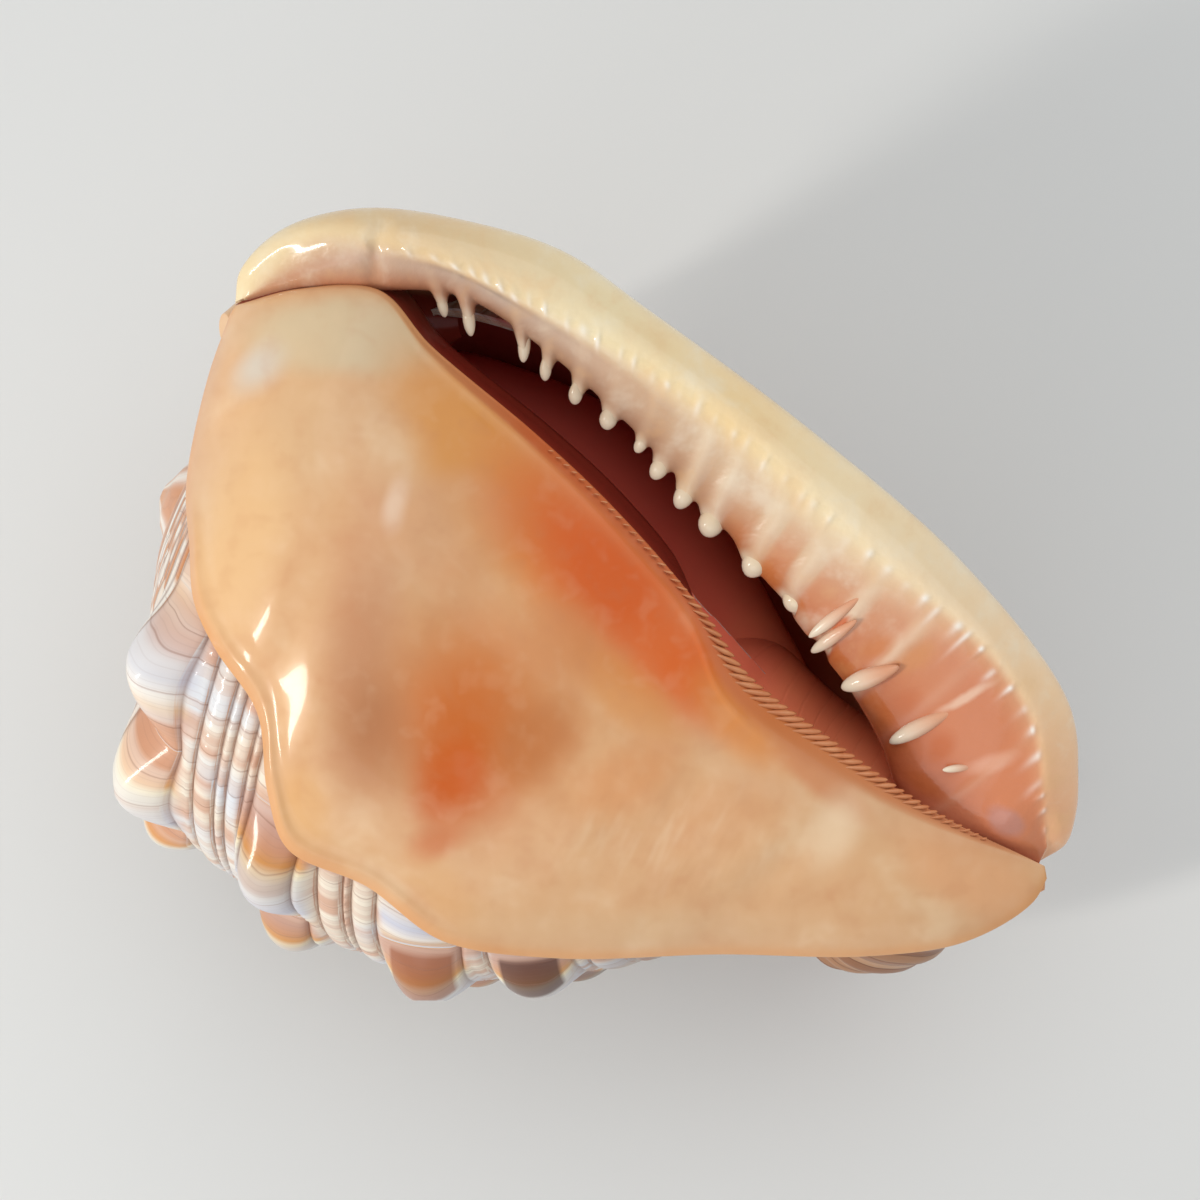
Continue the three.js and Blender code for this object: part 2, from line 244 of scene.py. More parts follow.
def step(tree, value, low, high, outLow=0.0, outHigh=1.0):
    return add(tree, "ShaderNodeMapRange", {0: value, 1: low, 2: high, 3: outLow, 4: outHigh},
               interpolation_type="SMOOTHSTEP").outputs[0]


def mark(tree, name):
    return add(tree, "ShaderNodeAttribute", attribute_name=name).outputs["Fac"]


def place2d(tree, first, firstScale, second, secondScale):
    # two values, scaled, as a place for a noise
    return add(tree, "ShaderNodeCombineXYZ", {0: maths(tree, "MULTIPLY", first, firstScale),
               1: maths(tree, "MULTIPLY", second, secondScale)}).outputs[0]


def noise(tree, vector, scale, detail=3.0, roughness=0.55, distortion=0.0):
    return add(tree, "ShaderNodeTexNoise", {"Vector": vector, "Scale": scale, "Detail": detail,
               "Roughness": roughness, "Distortion": distortion}).outputs[0]


def newGroup(name, inputs, outputs):
    group = bpy.data.node_groups.new(name, "ShaderNodeTree")
    for label, kind, value in inputs:
        socket = group.interface.new_socket(label, in_out="INPUT", socket_type=kind)
        if value is not None:
            socket.default_value = value
    for label, kind in outputs:
        group.interface.new_socket(label, in_out="OUTPUT", socket_type=kind)
    return group, group.nodes.new("NodeGroupInput").outputs, group.nodes.new("NodeGroupOutput")


def makeSoftSpot():
    # a soft oval patch: 1 in its middle, 0 outside, turned by an angle
    group, given, out = newGroup("softSpot", [
        ("Point", "NodeSocketVector", None), ("Middle", "NodeSocketVector", None),
        ("Reach", "NodeSocketVector", (10, 10, 1)), ("Turn", "NodeSocketFloat", 0.0),
        ("Core", "NodeSocketFloat", 0.1)], [("Mask", "NodeSocketFloat")])
    away = vectorMaths(group, "SUBTRACT", given["Point"], given["Middle"])
    scaled = vectorMaths(group, "DIVIDE", turnFlat(group, away, given["Turn"]), given["Reach"])
    level = vectorMaths(group, "MULTIPLY", scaled, (1, 1, 0))
    far = add(group, "ShaderNodeVectorMath", {0: level}, operation="LENGTH").outputs["Value"]
    group.links.new(step(group, far, 1.0, given["Core"]), out.inputs["Mask"])
    return group


def makeGrowthLines():
    # thin uneven lines across a way of growing, darker in some places than in others
    group, given, out = newGroup("growthLines", [
        ("Along", "NodeSocketFloat", 0.0), ("Across", "NodeSocketFloat", 0.0),
        ("Spacing", "NodeSocketFloat", 1.5), ("Thin", "NodeSocketFloat", 0.1),
        ("Wander", "NodeSocketFloat", 1.0)], [("Lines", "NodeSocketFloat"), ("Shade", "NodeSocketFloat")])
    drift = place2d(group, given["Across"], 0.12, given["Along"], 0.05)
    wave = maths(group, "MULTIPLY", noise(group, drift, 1.0, 1.0), given["Wander"])
    steps = maths(group, "DIVIDE", maths(group, "ADD", given["Along"], wave), given["Spacing"])
    cells = add(group, "ShaderNodeTexVoronoi", {"W": steps, "Scale": 1.0, "Randomness": 1.0},
                voronoi_dimensions="1D", feature="DISTANCE_TO_EDGE")
    line = step(group, cells.outputs["Distance"], given["Thin"], 0.0)
    tone = add(group, "ShaderNodeTexVoronoi", {"W": steps, "Scale": 1.0, "Randomness": 1.0},
               voronoi_dimensions="1D", feature="F1")
    shade = add(group, "ShaderNodeSeparateColor", {0: tone.outputs["Color"]}).outputs[0]
    group.links.new(line, out.inputs["Lines"])
    group.links.new(shade, out.inputs["Shade"])
    return group


softSpot = makeSoftSpot()
growthLines = makeGrowthLines()


glaze = {"Coat Roughness": 0.08, "IOR": 1.5, "Specular IOR Level": 0.15}      # the same on every finish


def newMaterial(name, roughness, coat=0.0):
    material = bpy.data.materials.new(name)
    material.use_nodes = True
    tree = material.node_tree
    tree.nodes.clear()
    shader = tree.nodes.new("ShaderNodeBsdfPrincipled")
    out = tree.nodes.new("ShaderNodeOutputMaterial")
    tree.links.new(shader.outputs[0], out.inputs[0])
    for label, value in {"Roughness": roughness, "Coat Weight": coat, **glaze}.items():
        shader.inputs[label].default_value = value
    return material, tree, shader


def facePoint(tree, warp=0.0, warpScale=0.04):
    # the place in the face frame, in mm, with a little wander for soft uneven borders
    point = add(tree, "ShaderNodeCombineXYZ", {0: mark(tree, "faceX"), 1: mark(tree, "faceY")}).outputs[0]
    if warp:
        wander = add(tree, "ShaderNodeTexNoise", {"Vector": point, "Scale": warpScale, "Detail": 2.0})
        centred = vectorMaths(tree, "SUBTRACT", wander.outputs[1], (0.5, 0.5, 0.5))
        point = vectorMaths(tree, "ADD", point, vectorMaths(tree, "MULTIPLY", centred, (warp, warp, 0)))
    return point


def spotMask(tree, point, x, y, halfLong, halfWide, turn=0.0, core=0.1):
    made = add(tree, "ShaderNodeGroup", {
        "Point": point, "Middle": (x, y, 0), "Reach": (halfLong, halfWide, 1),
        "Turn": math.radians(-turn), "Core": core}, node_tree=softSpot)
    return made.outputs[0]


def addSpots(tree, colour, point, spots):
    for *oval, strength, tint in spots:
        share = maths(tree, "MULTIPLY", spotMask(tree, point, *oval), strength)
        colour = blend(tree, share, colour, paint(*tint))
    return colour


def growth(tree, along, across, spacing, thin, wander):
    # the lines, and a shade that differs from line to line
    made = add(tree, "ShaderNodeGroup", {"Along": along, "Across": across, "Spacing": spacing, "Thin": thin,
               "Wander": wander}, node_tree=growthLines)
    return made.outputs["Lines"], made.outputs["Shade"]


def addBump(tree, shader, height, strength, distance):
    bump = add(tree, "ShaderNodeBump", {"Height": height, "Strength": strength, "Distance": distance})
    tree.links.new(bump.outputs[0], shader.inputs["Normal"])


# The coil: body whorl and spire

coil = {
    "apex": (-75.7, 18.3, -50),
    "axis": (0.9, -0.4155, 0.1305),
    "leftward": (-0.419, -0.908, 0),          # turn 0 points this way
    "upward": (-0.2085, 0.096, 0.978),        # turn 90 leans back a little
    "growth": 1.25,                           # size gained in one whorl
    "faceFlatness": 0.76,
    "backFlatness": 0.84,
    "lipSideWidth": 0.93,
    "lipTurn": 150,                           # where the body whorl ends
    "rimLean": 28,
    "wall": 4,
    "hindEnd": 13.5,                          # along the axis, where the cords begin and end
    "frontEnd": 138,
    # radius at places along the axis
    "profile": [(13.5, 31), (17, 38), (21, 44), (26, 49), (33, 52.5), (43, 54.8), (52, 55.8), (62, 56.6),
                (72, 56), (80, 53.8), (88, 50.5), (97, 45.5), (106, 39.5), (115, 32), (124, 24.5),
                (131, 18.5), (138, 12)],
    "knobSpacing": 33,
    # along the axis, height, half length, first turn, lean, turns over which the row sinks
    "knobRows": [(25, 7.5, 8, 24, 35, [(60, 1), (85, 0), (170, 0), (205, 1)]),
                 (52, 6, 8, -6, 5, [(35, 1), (55, 0), (170, 0), (205, 1)]),
                 (79, 5.5, 7.5, 5, -15, [(25, 1), (45, 0), (170, 0), (205, 1)]),
                 (95, 4, 6.5, 3, -30, [(25, 1), (45, 0), (170, 0), (205, 1)])],
    # grooves between the spiral cords, in mm along the axis
    "grooves": [14.9, 16.2, 17.6, 19.2, 20.8, 31.6, 34.8, 39.4, 41.6, 45.0, 46.9, 57.2, 60.4, 65.2, 66.8,
                71.2, 84.9, 88.6, 100.8, 102.8, 108.1, 111.7, 114.6, 118.6, 122, 125.5, 129],
    # how dark a knob's brown patch is, row by row: a mean, and a swing and its pace from knob to knob
    "patches": [(0, 0, 0), (0.2, 0.3, 2.3), (0.85, 0.15, 1.7), (0.9, 0.1, 2.9)],
    "paintMoved": [(0, 12, 0.26)],            # row, knob and share by which a knob's colours sit higher
    "grooveDepth": 0.75,
    "crown": 0.14,                            # how round a cord is
    "beads": 0.14,                            # height of the beads on the narrow cords
    "beadSpacing": 2.6,                       # degrees
    "columns": 420,
    "cordRows": 8,                            # rows of points on a cord of usual width
    "wideStep": 0.62,                         # mm between rows on a wide one
    "lastTurn": 500,                          # of the body whorl, well inside the aperture
    "quiet": (422, 440),                      # turns over which the knobs of the old whorl fade
    "innerFrom": (428, 440),                  # turns from which the old whorl is the aperture's inner wall
    "innerBeyond": (30, 34),                  # and places along the axis
    "worn": 1.5,                              # mm, how far that wall is worn down
    "rim": (154, 157),                        # turns within which the whorl's cut rim has the inner colour
    "rimBeyond": (38, 44),
}
spireTurns = {"first": 490, "last": 1570, "end": 34, "inset": 0.2, "columns": 620}
apex = np.array(coil["apex"], float)
axis = unit(coil["axis"])
leftward = unit(coil["leftward"])
upward = unit(coil["upward"])
lipTurn = coil["lipTurn"]


def knobShape(along, turn):
    # lift of the knobs outward and along the axis, the row's share in the colour, the way across a knob,
    # and the brown patch that some knobs carry
    out = np.zeros(np.broadcast(along, turn).shape)
    slid, zone, across, patch = out.copy(), out.copy(), out.copy(), out.copy()
    for row, (middle, height, reach, phase, lean, cover) in enumerate(coil["knobRows"]):
        shown = np.where(turn > lipTurn + 360, 1, valueAt(cover, np.where(turn > 360, turn - 360, turn)))
        down = np.abs(along - middle) / reach
        steps = (turn - phase) / coil["knobSpacing"]
        aside = steps - np.round(steps)
        bulge = (1 - np.minimum(down, 1) ** 2.2) ** 1.2
        shape = bulge * (0.5 * (1 - (aside * 2) ** 2) + 0.25 + 0.25 * np.cos(aside * 2 * math.pi))
        early = 1 - (0.6 if row == 0 else 1.0) * smooth(turn, *coil["quiet"])    # low on the spire
        lift = height * shown * shape * early
        out = out + lift * math.cos(math.radians(lean))
        slid = slid - lift * math.sin(math.radians(lean))
        inRow = 1 - smooth(down, 0.75, 1.05)
        zone = np.maximum(zone, inRow * smooth(height * shown, 0.5, 3) * early)
        moved = sum(by * (np.round(steps) == knob) for place, knob, by in coil["paintMoved"] if place == row)
        across = np.where(down < 1.1, aside - moved, across)
        mean, swing, pace = coil["patches"][row]
        dark = mean + swing * np.sin(np.round(steps) * pace)
        window = smooth(aside, 0.0, 0.06) * (1 - smooth(aside, 0.4, 0.46))
        patch = np.maximum(patch, dark * window * (1 - smooth(down, 0.62, 0.7)) * shown)
    return out, slid, zone, across, patch


def cordShape(along, turn):
    # rounded cords between grooves, beaded where they are narrow, and a number for each cord
    edges = np.array([coil["hindEnd"], *coil["grooves"], coil["frontEnd"]])
    i = np.clip(np.searchsorted(edges, along, side="right") - 1, 0, len(edges) - 2)
    width = edges[i + 1] - edges[i]
    s = np.clip((along - edges[i]) / width, 0, 1)
    fine = 1 - 0.6 * (1 - smooth(along, 21, 30))
    groove = bell(np.minimum(s, 1 - s) * width, 0.5) * np.where((along < 14.4) | (along > 134), 0, 1)
    narrow = smooth(width, 7, 4.5) * smooth(along, 28, 32)
    crown = (1 - (2 * s - 1) ** 2) * np.minimum(width, 5) * coil["crown"] * fine
    wave = np.cos(turn / coil["beadSpacing"] * 2 * math.pi + i * 2.1)
    bead = wave * narrow * (1 - np.abs(2 * s - 1)) * coil["beads"]
    return crown - groove * coil["grooveDepth"] * fine + bead, groove, i + 0.0 * turn


def coilPoint(turn, along, radius):
    # a point of the coil; the whorls shrink towards the apex and are flatter to the face and the back
    size = coil["growth"] ** ((360 - turn) / 360)
    left, height = np.cos(np.radians(turn)), np.sin(np.radians(turn))
    sideways = radius * size * left * np.where(left > 0, 1, coil["lipSideWidth"])
    upright = radius * size * height * np.where(height > 0, coil["faceFlatness"], coil["backFlatness"])
    return (apex + axis * (along * size)[..., None] + leftward * sideways[..., None]
            + upward * upright[..., None])


def leanedTurn(turn, along):
    return turn - coil["rimLean"] * smooth(along, 80, 130) * (1 - smooth(turn, lipTurn, lipTurn + 70))


def shoulderSize(turn, along):
    near = 1 - smooth(turn, lipTurn, lipTurn + 45)
    return 1 - (1 - 1 / coil["growth"]) * near * (1 - smooth(along, 18, 36))


def cordPlaces(last):
    # places along the axis, close together in the grooves
    edges = [coil["hindEnd"]] + [g for g in coil["grooves"] if g < last - 1] + [last]
    places = []
    for a, b in zip(edges, edges[1:]):
        wide = b - a
        count = round(wide / coil["wideStep"]) if wide >= 8 else max(6, round(coil["cordRows"] * min(1.0, wide / 4)))
        places += list(a + wide * np.arange(count) / count)
    return np.array(places + [last])


def whorl(name, start, end, last, inset, columns):
    turn = np.linspace(start, end, columns)[:, None]
    along = cordPlaces(last)[None, :]
    out, slid, zone, across, patch = knobShape(along, turn)
    relief, groove, cord = cordShape(along, turn)
    calm = smooth(turn, lipTurn + 4, lipTurn + 25) if start == lipTurn else 1.0
    sunk = shoulderSize(turn, along)
    inside = smooth(turn, *coil["innerFrom"]) * smooth(along, *coil["innerBeyond"])
    radius = valueAt(coil["profile"], along) + out - inset
    radius = radius + relief * calm * (1 - inside) - coil["worn"] * inside
    moved = leanedTurn(turn, along)
    surface = coilPoint(moved, (along + slid) * sunk, radius * sunk)
    nearAxis = np.full_like(turn, 2.0)
    tip = coilPoint(leanedTurn(turn, np.array([[last]])), np.full_like(turn, last - inset), nearAxis)
    root = coilPoint(turn, np.full_like(turn, 20.0), nearAxis)
    rings = np.concatenate([surface, tip, root], axis=1)

    def whole(values, ends=0.0):
        values = np.broadcast_to(values, surface.shape[:2])
        return np.concatenate([values, np.full((len(turn), 2), ends)], axis=1)

    size = coil["growth"] ** ((360 - turn) / 360)
    cutRim = (1 - smooth(turn, *coil["rim"])) * smooth(along, *coil["rimBeyond"])
    marks = {"along": whole(along * size), "around": whole(np.radians(turn) * 46 * size),
             "groove": whole(groove), "zone": whole(zone), "across": whole(across), "patch": whole(patch),
             "cord": whole(cord), "inside": whole(np.maximum(inside, cutRim), 1.0)}
    return loft(name, rings, marks, 70)


hollow = {
    "along": [(0, 23), (1, 30), (2, 42), (3, 58), (4, 74), (5, 90), (6, 106), (7, 120), (8, 130)],
    "points": 25,
    "lastTurn": 330,
    "turnStep": 6,
    "narrows": (250, 340),                    # turns over which it closes
    "opensOver": 60,                          # degrees over which it opens towards the lip
}


def makeHollow():
    # the hollow of the body whorl, which opens along the aperture
    places = valueAt(hollow["along"], np.linspace(0, 8, hollow["points"]))
    rings = []
    for turn in np.arange(lipTurn - 12, hollow["lastTurn"] + 1, hollow["turnStep"]):
        shrink = smooth(turn, *hollow["narrows"])
        opened = 1 - smooth(turn, lipTurn, lipTurn + hollow["opensOver"])
        thick = coil["wall"] * (1 + shrink - 0.7 * opened)
        reach = places * (1 - 0.35 * shrink) + 8 * shrink
        outer = valueAt(coil["profile"], reach) - thick
        before = valueAt(coil["profile"], reach * coil["growth"]) / coil["growth"]
        inner = np.minimum(before + thick - coil["wall"] * 2.5 * opened, outer - 3 * (1 - shrink) - 1)
        sunk = shoulderSize(turn, reach)
        moved = leanedTurn(turn, reach)
        outside = coilPoint(moved, reach * sunk, outer * sunk)
        inside = coilPoint(moved, reach * sunk, inner * sunk)
        rings.append(np.vstack([outside, inside[::-1]]))
    return loft("hollow", np.array(rings), {})


def makeTube(name, route, stations, around, shades=None, relief=None):
    # a round form along a route of x, y, z and radius; shades are marks worked out from its points
    radii = [(i / (len(route) - 1), point[3]) for i, point in enumerate(route)]
    u = np.linspace(0, 1, stations)
    centre, ahead = through([point[:3] for point in route], u, byLength=False)
    across = unit(np.cross((0.42, 0.9, 0.1), ahead))
    side = unit(np.cross(across, ahead))
    angle = np.linspace(0, 2 * math.pi, around, endpoint=False)
    radius = valueAt(radii, u)[:, None] * np.ones(around)
    if relief:
        radius = radius + relief(u[:, None], angle[None, :])
    rings = (centre[:, None] + across[:, None] * (radius * np.cos(angle))[..., None]
             + side[:, None] * (radius * np.sin(angle))[..., None])
    marks = {"along": u[:, None] * 40 * np.ones(around),
             "around": np.cos(angle) * 12 * np.ones((stations, 1))}
    for label, shade in (shades or {}).items():
        marks[label] = shade(rings)
    return loft(name, rings, marks)


def beyondEdge(points):
    # how far a point lies past the shield's inner edge, towards the aperture
    edge, along = through(shield["innerEdge"], np.linspace(0, 1, 200))
    flat = points.reshape(-1, 3)
    nearest = np.hypot(flat[:, None, 0] - edge[None, :, 0], flat[:, None, 1] - edge[None, :, 1]).argmin(1)
    away = flat[:, :2] - edge[nearest, :2]
    past = -along[nearest, 1] * away[:, 0] + along[nearest, 0] * away[:, 1]
    return past.reshape(points.shape[:-1])


def inAperture(points):
    # the part of the neck that forms the floor of the aperture's front end
    seen = smooth(beyondEdge(points), -6, -2) * smooth(points[..., 2], -46, -38)
    return seen * (1 - smooth(points[..., 0], 60, 66))


def underHindLip(points):
    # the part of the hind corner that shows through the aperture, painted dark there as painted shade
    x, y, z = points[..., 0], points[..., 1], points[..., 2]
    return smooth(x, -50, -44) * (1 - smooth(y, 50, 53)) * smooth(z, -34, -30)


def cutWith(piece, tool):
    modifier = piece.modifiers.new("cut", "BOOLEAN")
    modifier.operation = "DIFFERENCE"
    modifier.solver = "MANIFOLD"
    modifier.material_mode = "TRANSFER"
    modifier.object = tool
    bake(piece)
    bpy.data.objects.remove(tool)
    return piece


# The shield over the face

shield = {
    "innerEdge": [(-59.8, 47.9, -17), (-48, 49.6, -9), (-35.4, 49.1, -6.5), (-27.2, 40.4, -6),
                  (-10.8, 26.6, -6), (1.4, 15.1, -6), (15.9, -1.3, -6), (23.1, -12.1, -6), (37.1, -23.1, -6),
                  (52.3, -33.3, -7), (72.1, -43.1, -11)],
    "freeEdge": [(-59.8, 47.9, -17), (-64.5, 36.3, -21), (-68, 20, -22), (-66.2, 8.8, -13), (-65, 0, -9.5),
                 (-61.5, -7.3, -7.5), (-54.5, -17.5, -6), (-53, -30.6, -8), (-50, -40, -11),
                 (-37.5, -46, -12), (-25.4, -55.3, -16), (-6.6, -58.5, -19), (19.7, -57.9, -19.5),
                 (44, -57.9, -17), (59.2, -55.4, -15), (69.6, -49, -12.4), (72.3, -44, -11)],
    "rim": 2.4,                               # mm, thickness of the free rim
    # the next lists run from the hind corner, 0, to the canal, 1: height over a straight line, reach in
    # towards the axis, how far the foot stands out below the aperture, and width of the orange edge
    "rise": [(0, 0), (0.12, 8), (0.3, 11), (0.5, 11.5), (0.7, 10.5), (0.87, 6), (1, 0)],
    "reach": [(0, 0.15), (0.1, 0.55), (0.2, 1), (0.8, 1), (0.93, 0.6), (1, 0.2)],
    "foot": [(0, 6), (0.1, 5), (0.2, 2.6), (0.52, 2.6), (0.62, -2), (0.85, -2), (0.95, 0), (1, 0)],
    "band": [(0, 0), (0.18, 0.6), (0.3, 1.6), (0.5, 2.2), (0.58, 2.6), (0.64, 4.6), (0.73, 5.2), (0.82, 3.4),
             (0.9, 1.6), (0.96, 0.5), (1, 0)],
    "roll": 0.7,                              # mm, the rolled rim on the spire side
    "rollStarts": (0.12, 0.2),
    "rollEnds": (0.5, 0.6),
    "bandDrop": 1.1,                          # mm, how far the orange band falls to the aperture
    # soft swellings and hollows of the face: x, y, half length, half width, turn in degrees, height in mm
    "swells": [(-53, -4, 11, 4, 70, 0.7), (-31.5, 14, 14, 7, 75, 0.5), (-24, -27, 13, 7, -50, -0.9),
               (-38, -27, 14, 8, -60, 0.6), (-40, 35, 20, 5, 5, 0.4), (-2, -34, 16, 5, 60, 0.35),
               (14, -30, 12, 3.5, 62, -0.3), (22, -42, 12, 3, 35, 0.35), (30, -40, 12, 3, 50, -0.25)],
    "stations": 330,
    "across": 130,
}


def makeShield():
    u = np.linspace(0.004, 0.996, shield["stations"])
    a, ahead = through(shield["innerEdge"], u)
    b, _ = through(shield["freeEdge"], u)
    outward = unit(np.stack([-ahead[:, 1], ahead[:, 0], np.zeros(len(u))], 1))
    toMiddle = (a - b) * (1, 1, 0)
    room = np.linalg.norm(toMiddle, axis=1)
    toMiddle = unit(toMiddle)
    small = np.minimum(1, room / 35)[:, None]
    w = 0.5 - 0.5 * np.cos(np.linspace(0, math.pi, shield["across"]))
    w = 0.35 * w + 0.65 * np.linspace(0, 1, shield["across"])
    rise = valueAt(shield["rise"], u)[:, None] * (4 * w * (1 - w)) ** 0.9
    dome = a[:, None] * (1 - w)[None, :, None] + b[:, None] * w[None, :, None]
    dome[..., 2] += rise
    near = w[None, :] * room[:, None]
    band = np.maximum(valueAt(shield["band"], u), 0.01)[:, None]
    inBand = 1 - smooth(near / band, 0.55, 1.15)
    dome[..., 2] -= shield["bandDrop"] * np.clip(1 - near / band, 0, 1) ** 1.3 * smooth(band, 0.2, 1.2)
    swelling = bell(near - band * 1.1, 0.7) * smooth(band, 0.5, 1.5)
    dome[..., 2] += 0.3 * swelling * smooth(u, 0.75, 0.6)[:, None]
    beyond = (1 - w[None, :]) * room[:, None]
    roll = smooth(u, *shield["rollStarts"]) * (1 - smooth(u, *shield["rollEnds"]))
    dome[..., 2] += roll[:, None] * (shield["roll"] * bell(beyond - 1.5, 1.2) - 0.3 * bell(beyond - 4.2, 1.5))
    for x, y, long, wide, turn, height in shield["swells"]:
        turn = math.radians(turn)
        dx, dy = dome[..., 0] - x, dome[..., 1] - y
        far = ((dx * math.cos(turn) + dy * math.sin(turn)) / long) ** 2
        far += ((dy * math.cos(turn) - dx * math.sin(turn)) / wide) ** 2
        dome[..., 2] += height * np.exp(-far)

    def beneath(p, side, distance, drop):
        return p + side * distance * small - np.array([0, 0, 1]) * drop * small

    middle = (a + b) / 2
    centre = apex + axis * ((middle - apex) @ axis)[:, None]
    heart = middle + (centre - middle) * valueAt(shield["reach"], u)[:, None]
    foot = valueAt(shield["foot"], u)[:, None]
    rim = shield["rim"]
    below = np.stack([
        b, beneath(b, toMiddle, -0.15, rim * 0.5), beneath(b, toMiddle, 1.5, rim),
        beneath(b, toMiddle, 12, rim + 4), heart - toMiddle * 2, heart + toMiddle * 2,
        beneath(a, outward, foot, 13), beneath(a, outward, foot * 0.6, 7),
        beneath(a, outward, 0.15 * foot, 2.5), a], axis=1)
    below[:, 0] = dome[:, -1]
    below[:, -1] = dome[:, 0]
    lower = closedThrough(below, 6)[:, 1:54]
    rings = np.concatenate([dome, lower], axis=1)
    count = lower.shape[1]

    def whole(values, ends):
        values = np.broadcast_to(values, near.shape)
        return np.concatenate([values, np.tile(ends, (len(u), 1))], axis=1)

    under = np.linspace(0, 1, count)          # from the free rim, under the shield, to the inner edge
    marks = {"band": whole(inBand * smooth(band, 0.15, 0.8), under), "run": u[:, None],
             "rim": whole(bell(beyond, 1.6), 1 - under),
             # painted shade: the shield's wall inside the aperture, under the inner edge, is later painted dark
             # maroon
             "throatAndShade": whole(0.0, smooth(under, 0.4, 0.55) * (1 - smooth(under, 0.9, 0.97)))}
    return loft("shield", rings, marks, 80)


# The rolled outer lip

lip = {
    "outline": [(-59.6, 48.6, -18), (-58.2, 53.6, -14.5), (-51, 60, -12), (-37.7, 63.1, -10),
                (-18.4, 60.2, -9), (-5.3, 55.7, -9), (7.2, 47.1, -9), (32.8, 28.2, -9), (58.5, 5.8, -9),
                (75.1, -16, -10), (77.2, -28.2, -12), (76.8, -35.4, -13.5), (75.4, -39.4, -14),
                (71.6, -42.2, -15)],
    # the crest, and the line along which the teeth stand
    "crest": [(-57.5, 49, -15), (-42.8, 56.2, -4), (-29.1, 55.5, -1), (-8.6, 46.6, 0), (15.7, 31.7, 0),
              (39.2, 11, 0), (60.6, -7.6, -1), (68.4, -19, -3), (70.6, -30.2, -5), (72, -39.8, -12)],
    "toothLine": [(-56, 48.5, -17), (-37.6, 49.6, -9), (-22.6, 48.7, -9), (-9.3, 40.4, -9), (7.2, 25.6, -9),
                  (19.5, 12.2, -9), (33.8, -6.2, -10), (40.4, -14.4, -12),
                  (45.5, -23, -14), (49, -31.6, -14), (56, -37.6, -13.5), (63.5, -41, -13.5),
                  (70.8, -43, -13.5)],
    "depth": [(0, 0.5), (0.12, 1), (0.6, 1), (0.8, 0.8), (0.92, 0.6), (1, 0.4)],      # share, hind to front
    "stations": 760,
    "steps": 12,
    "ridge": 0.4,                             # mm, the low ridges that run up from the teeth
    "beadHeight": 0.24,                       # mm, of the beads along the crest
    "beadSpacing": 3.1,
    "firstBead": 24.0,                        # mm from the hind end
    "seed": 4,
    # how strong the painted highlights on the beads are, hind to front
    "paintedGlints": [(0.15, 0), (0.22, 0.8), (0.5, 0.6), (0.6, 0.35), (0.7, 0.9), (0.9, 1), (1, 0)],
    "lobe": (64.6, -35, 3.4, 1.2),            # soft lobe by the canal: x, y, reach, height
    "crease": (-35.4, 54.5, 1.6, 0.9),        # the fold behind: x, y, half width, depth
}

# root and tip in plan, and thickness
teeth = [
    (-25.7, 49.5, -25, 46, 1.9), (-21.4, 48.3, -20.8, 43, 2.2), (-11.9, 44.1, -12.3, 38.8, 2.2),
    (-8.6, 38.9, -8.8, 35.8, 2.1), (-3.8, 34.6, -4, 32, 2.5), (1.8, 30.9, 1.1, 28, 3.2),
    (7.5, 26.5, 6.1, 24.2, 2.3), (10.8, 23.1, 8.8, 20, 3.2), (15.1, 19.5, 12.7, 15.3, 3.6),
    (18.8, 15.1, 17.3, 10.8, 4.6), (26.8, 9.1, 24, 4.4, 4.8), (32.8, 2.9, 30.8, -1.2, 5),
    (41.5, -2.6, 36.3, -7, 3.6), (47.2, -10.7, 39.4, -13.9, 3.6), (56.4, -17.4, 47.2, -22.6, 3.1),
    (59.6, -26.6, 55.4, -27.1, 1.4),
]
toothForm = {
    "onSlope": 3,                             # the last ones lie on the slope, clear of the edge
    "loop": 12,                               # this one is an open loop, made of two arms
    "arms": [(41, 0.4, 33.9, -5.5, 2.2), (40.4, -3.4, 34.4, -8, 2.4)],
    "rootHeight": -8.4,
    "tipHeight": -10.2,
    "rootSunk": 1.5,                          # on the slope, mm below its surface
    "tipProud": 0.5,
    "rootWidth": 0.7,
    "segments": 24,
}


def ridgeShare(index):
    # the teeth behind and the last ones have hardly any ridge, those between a clear one
    return 0.25 if index < 8 or index > 13 else 1.0


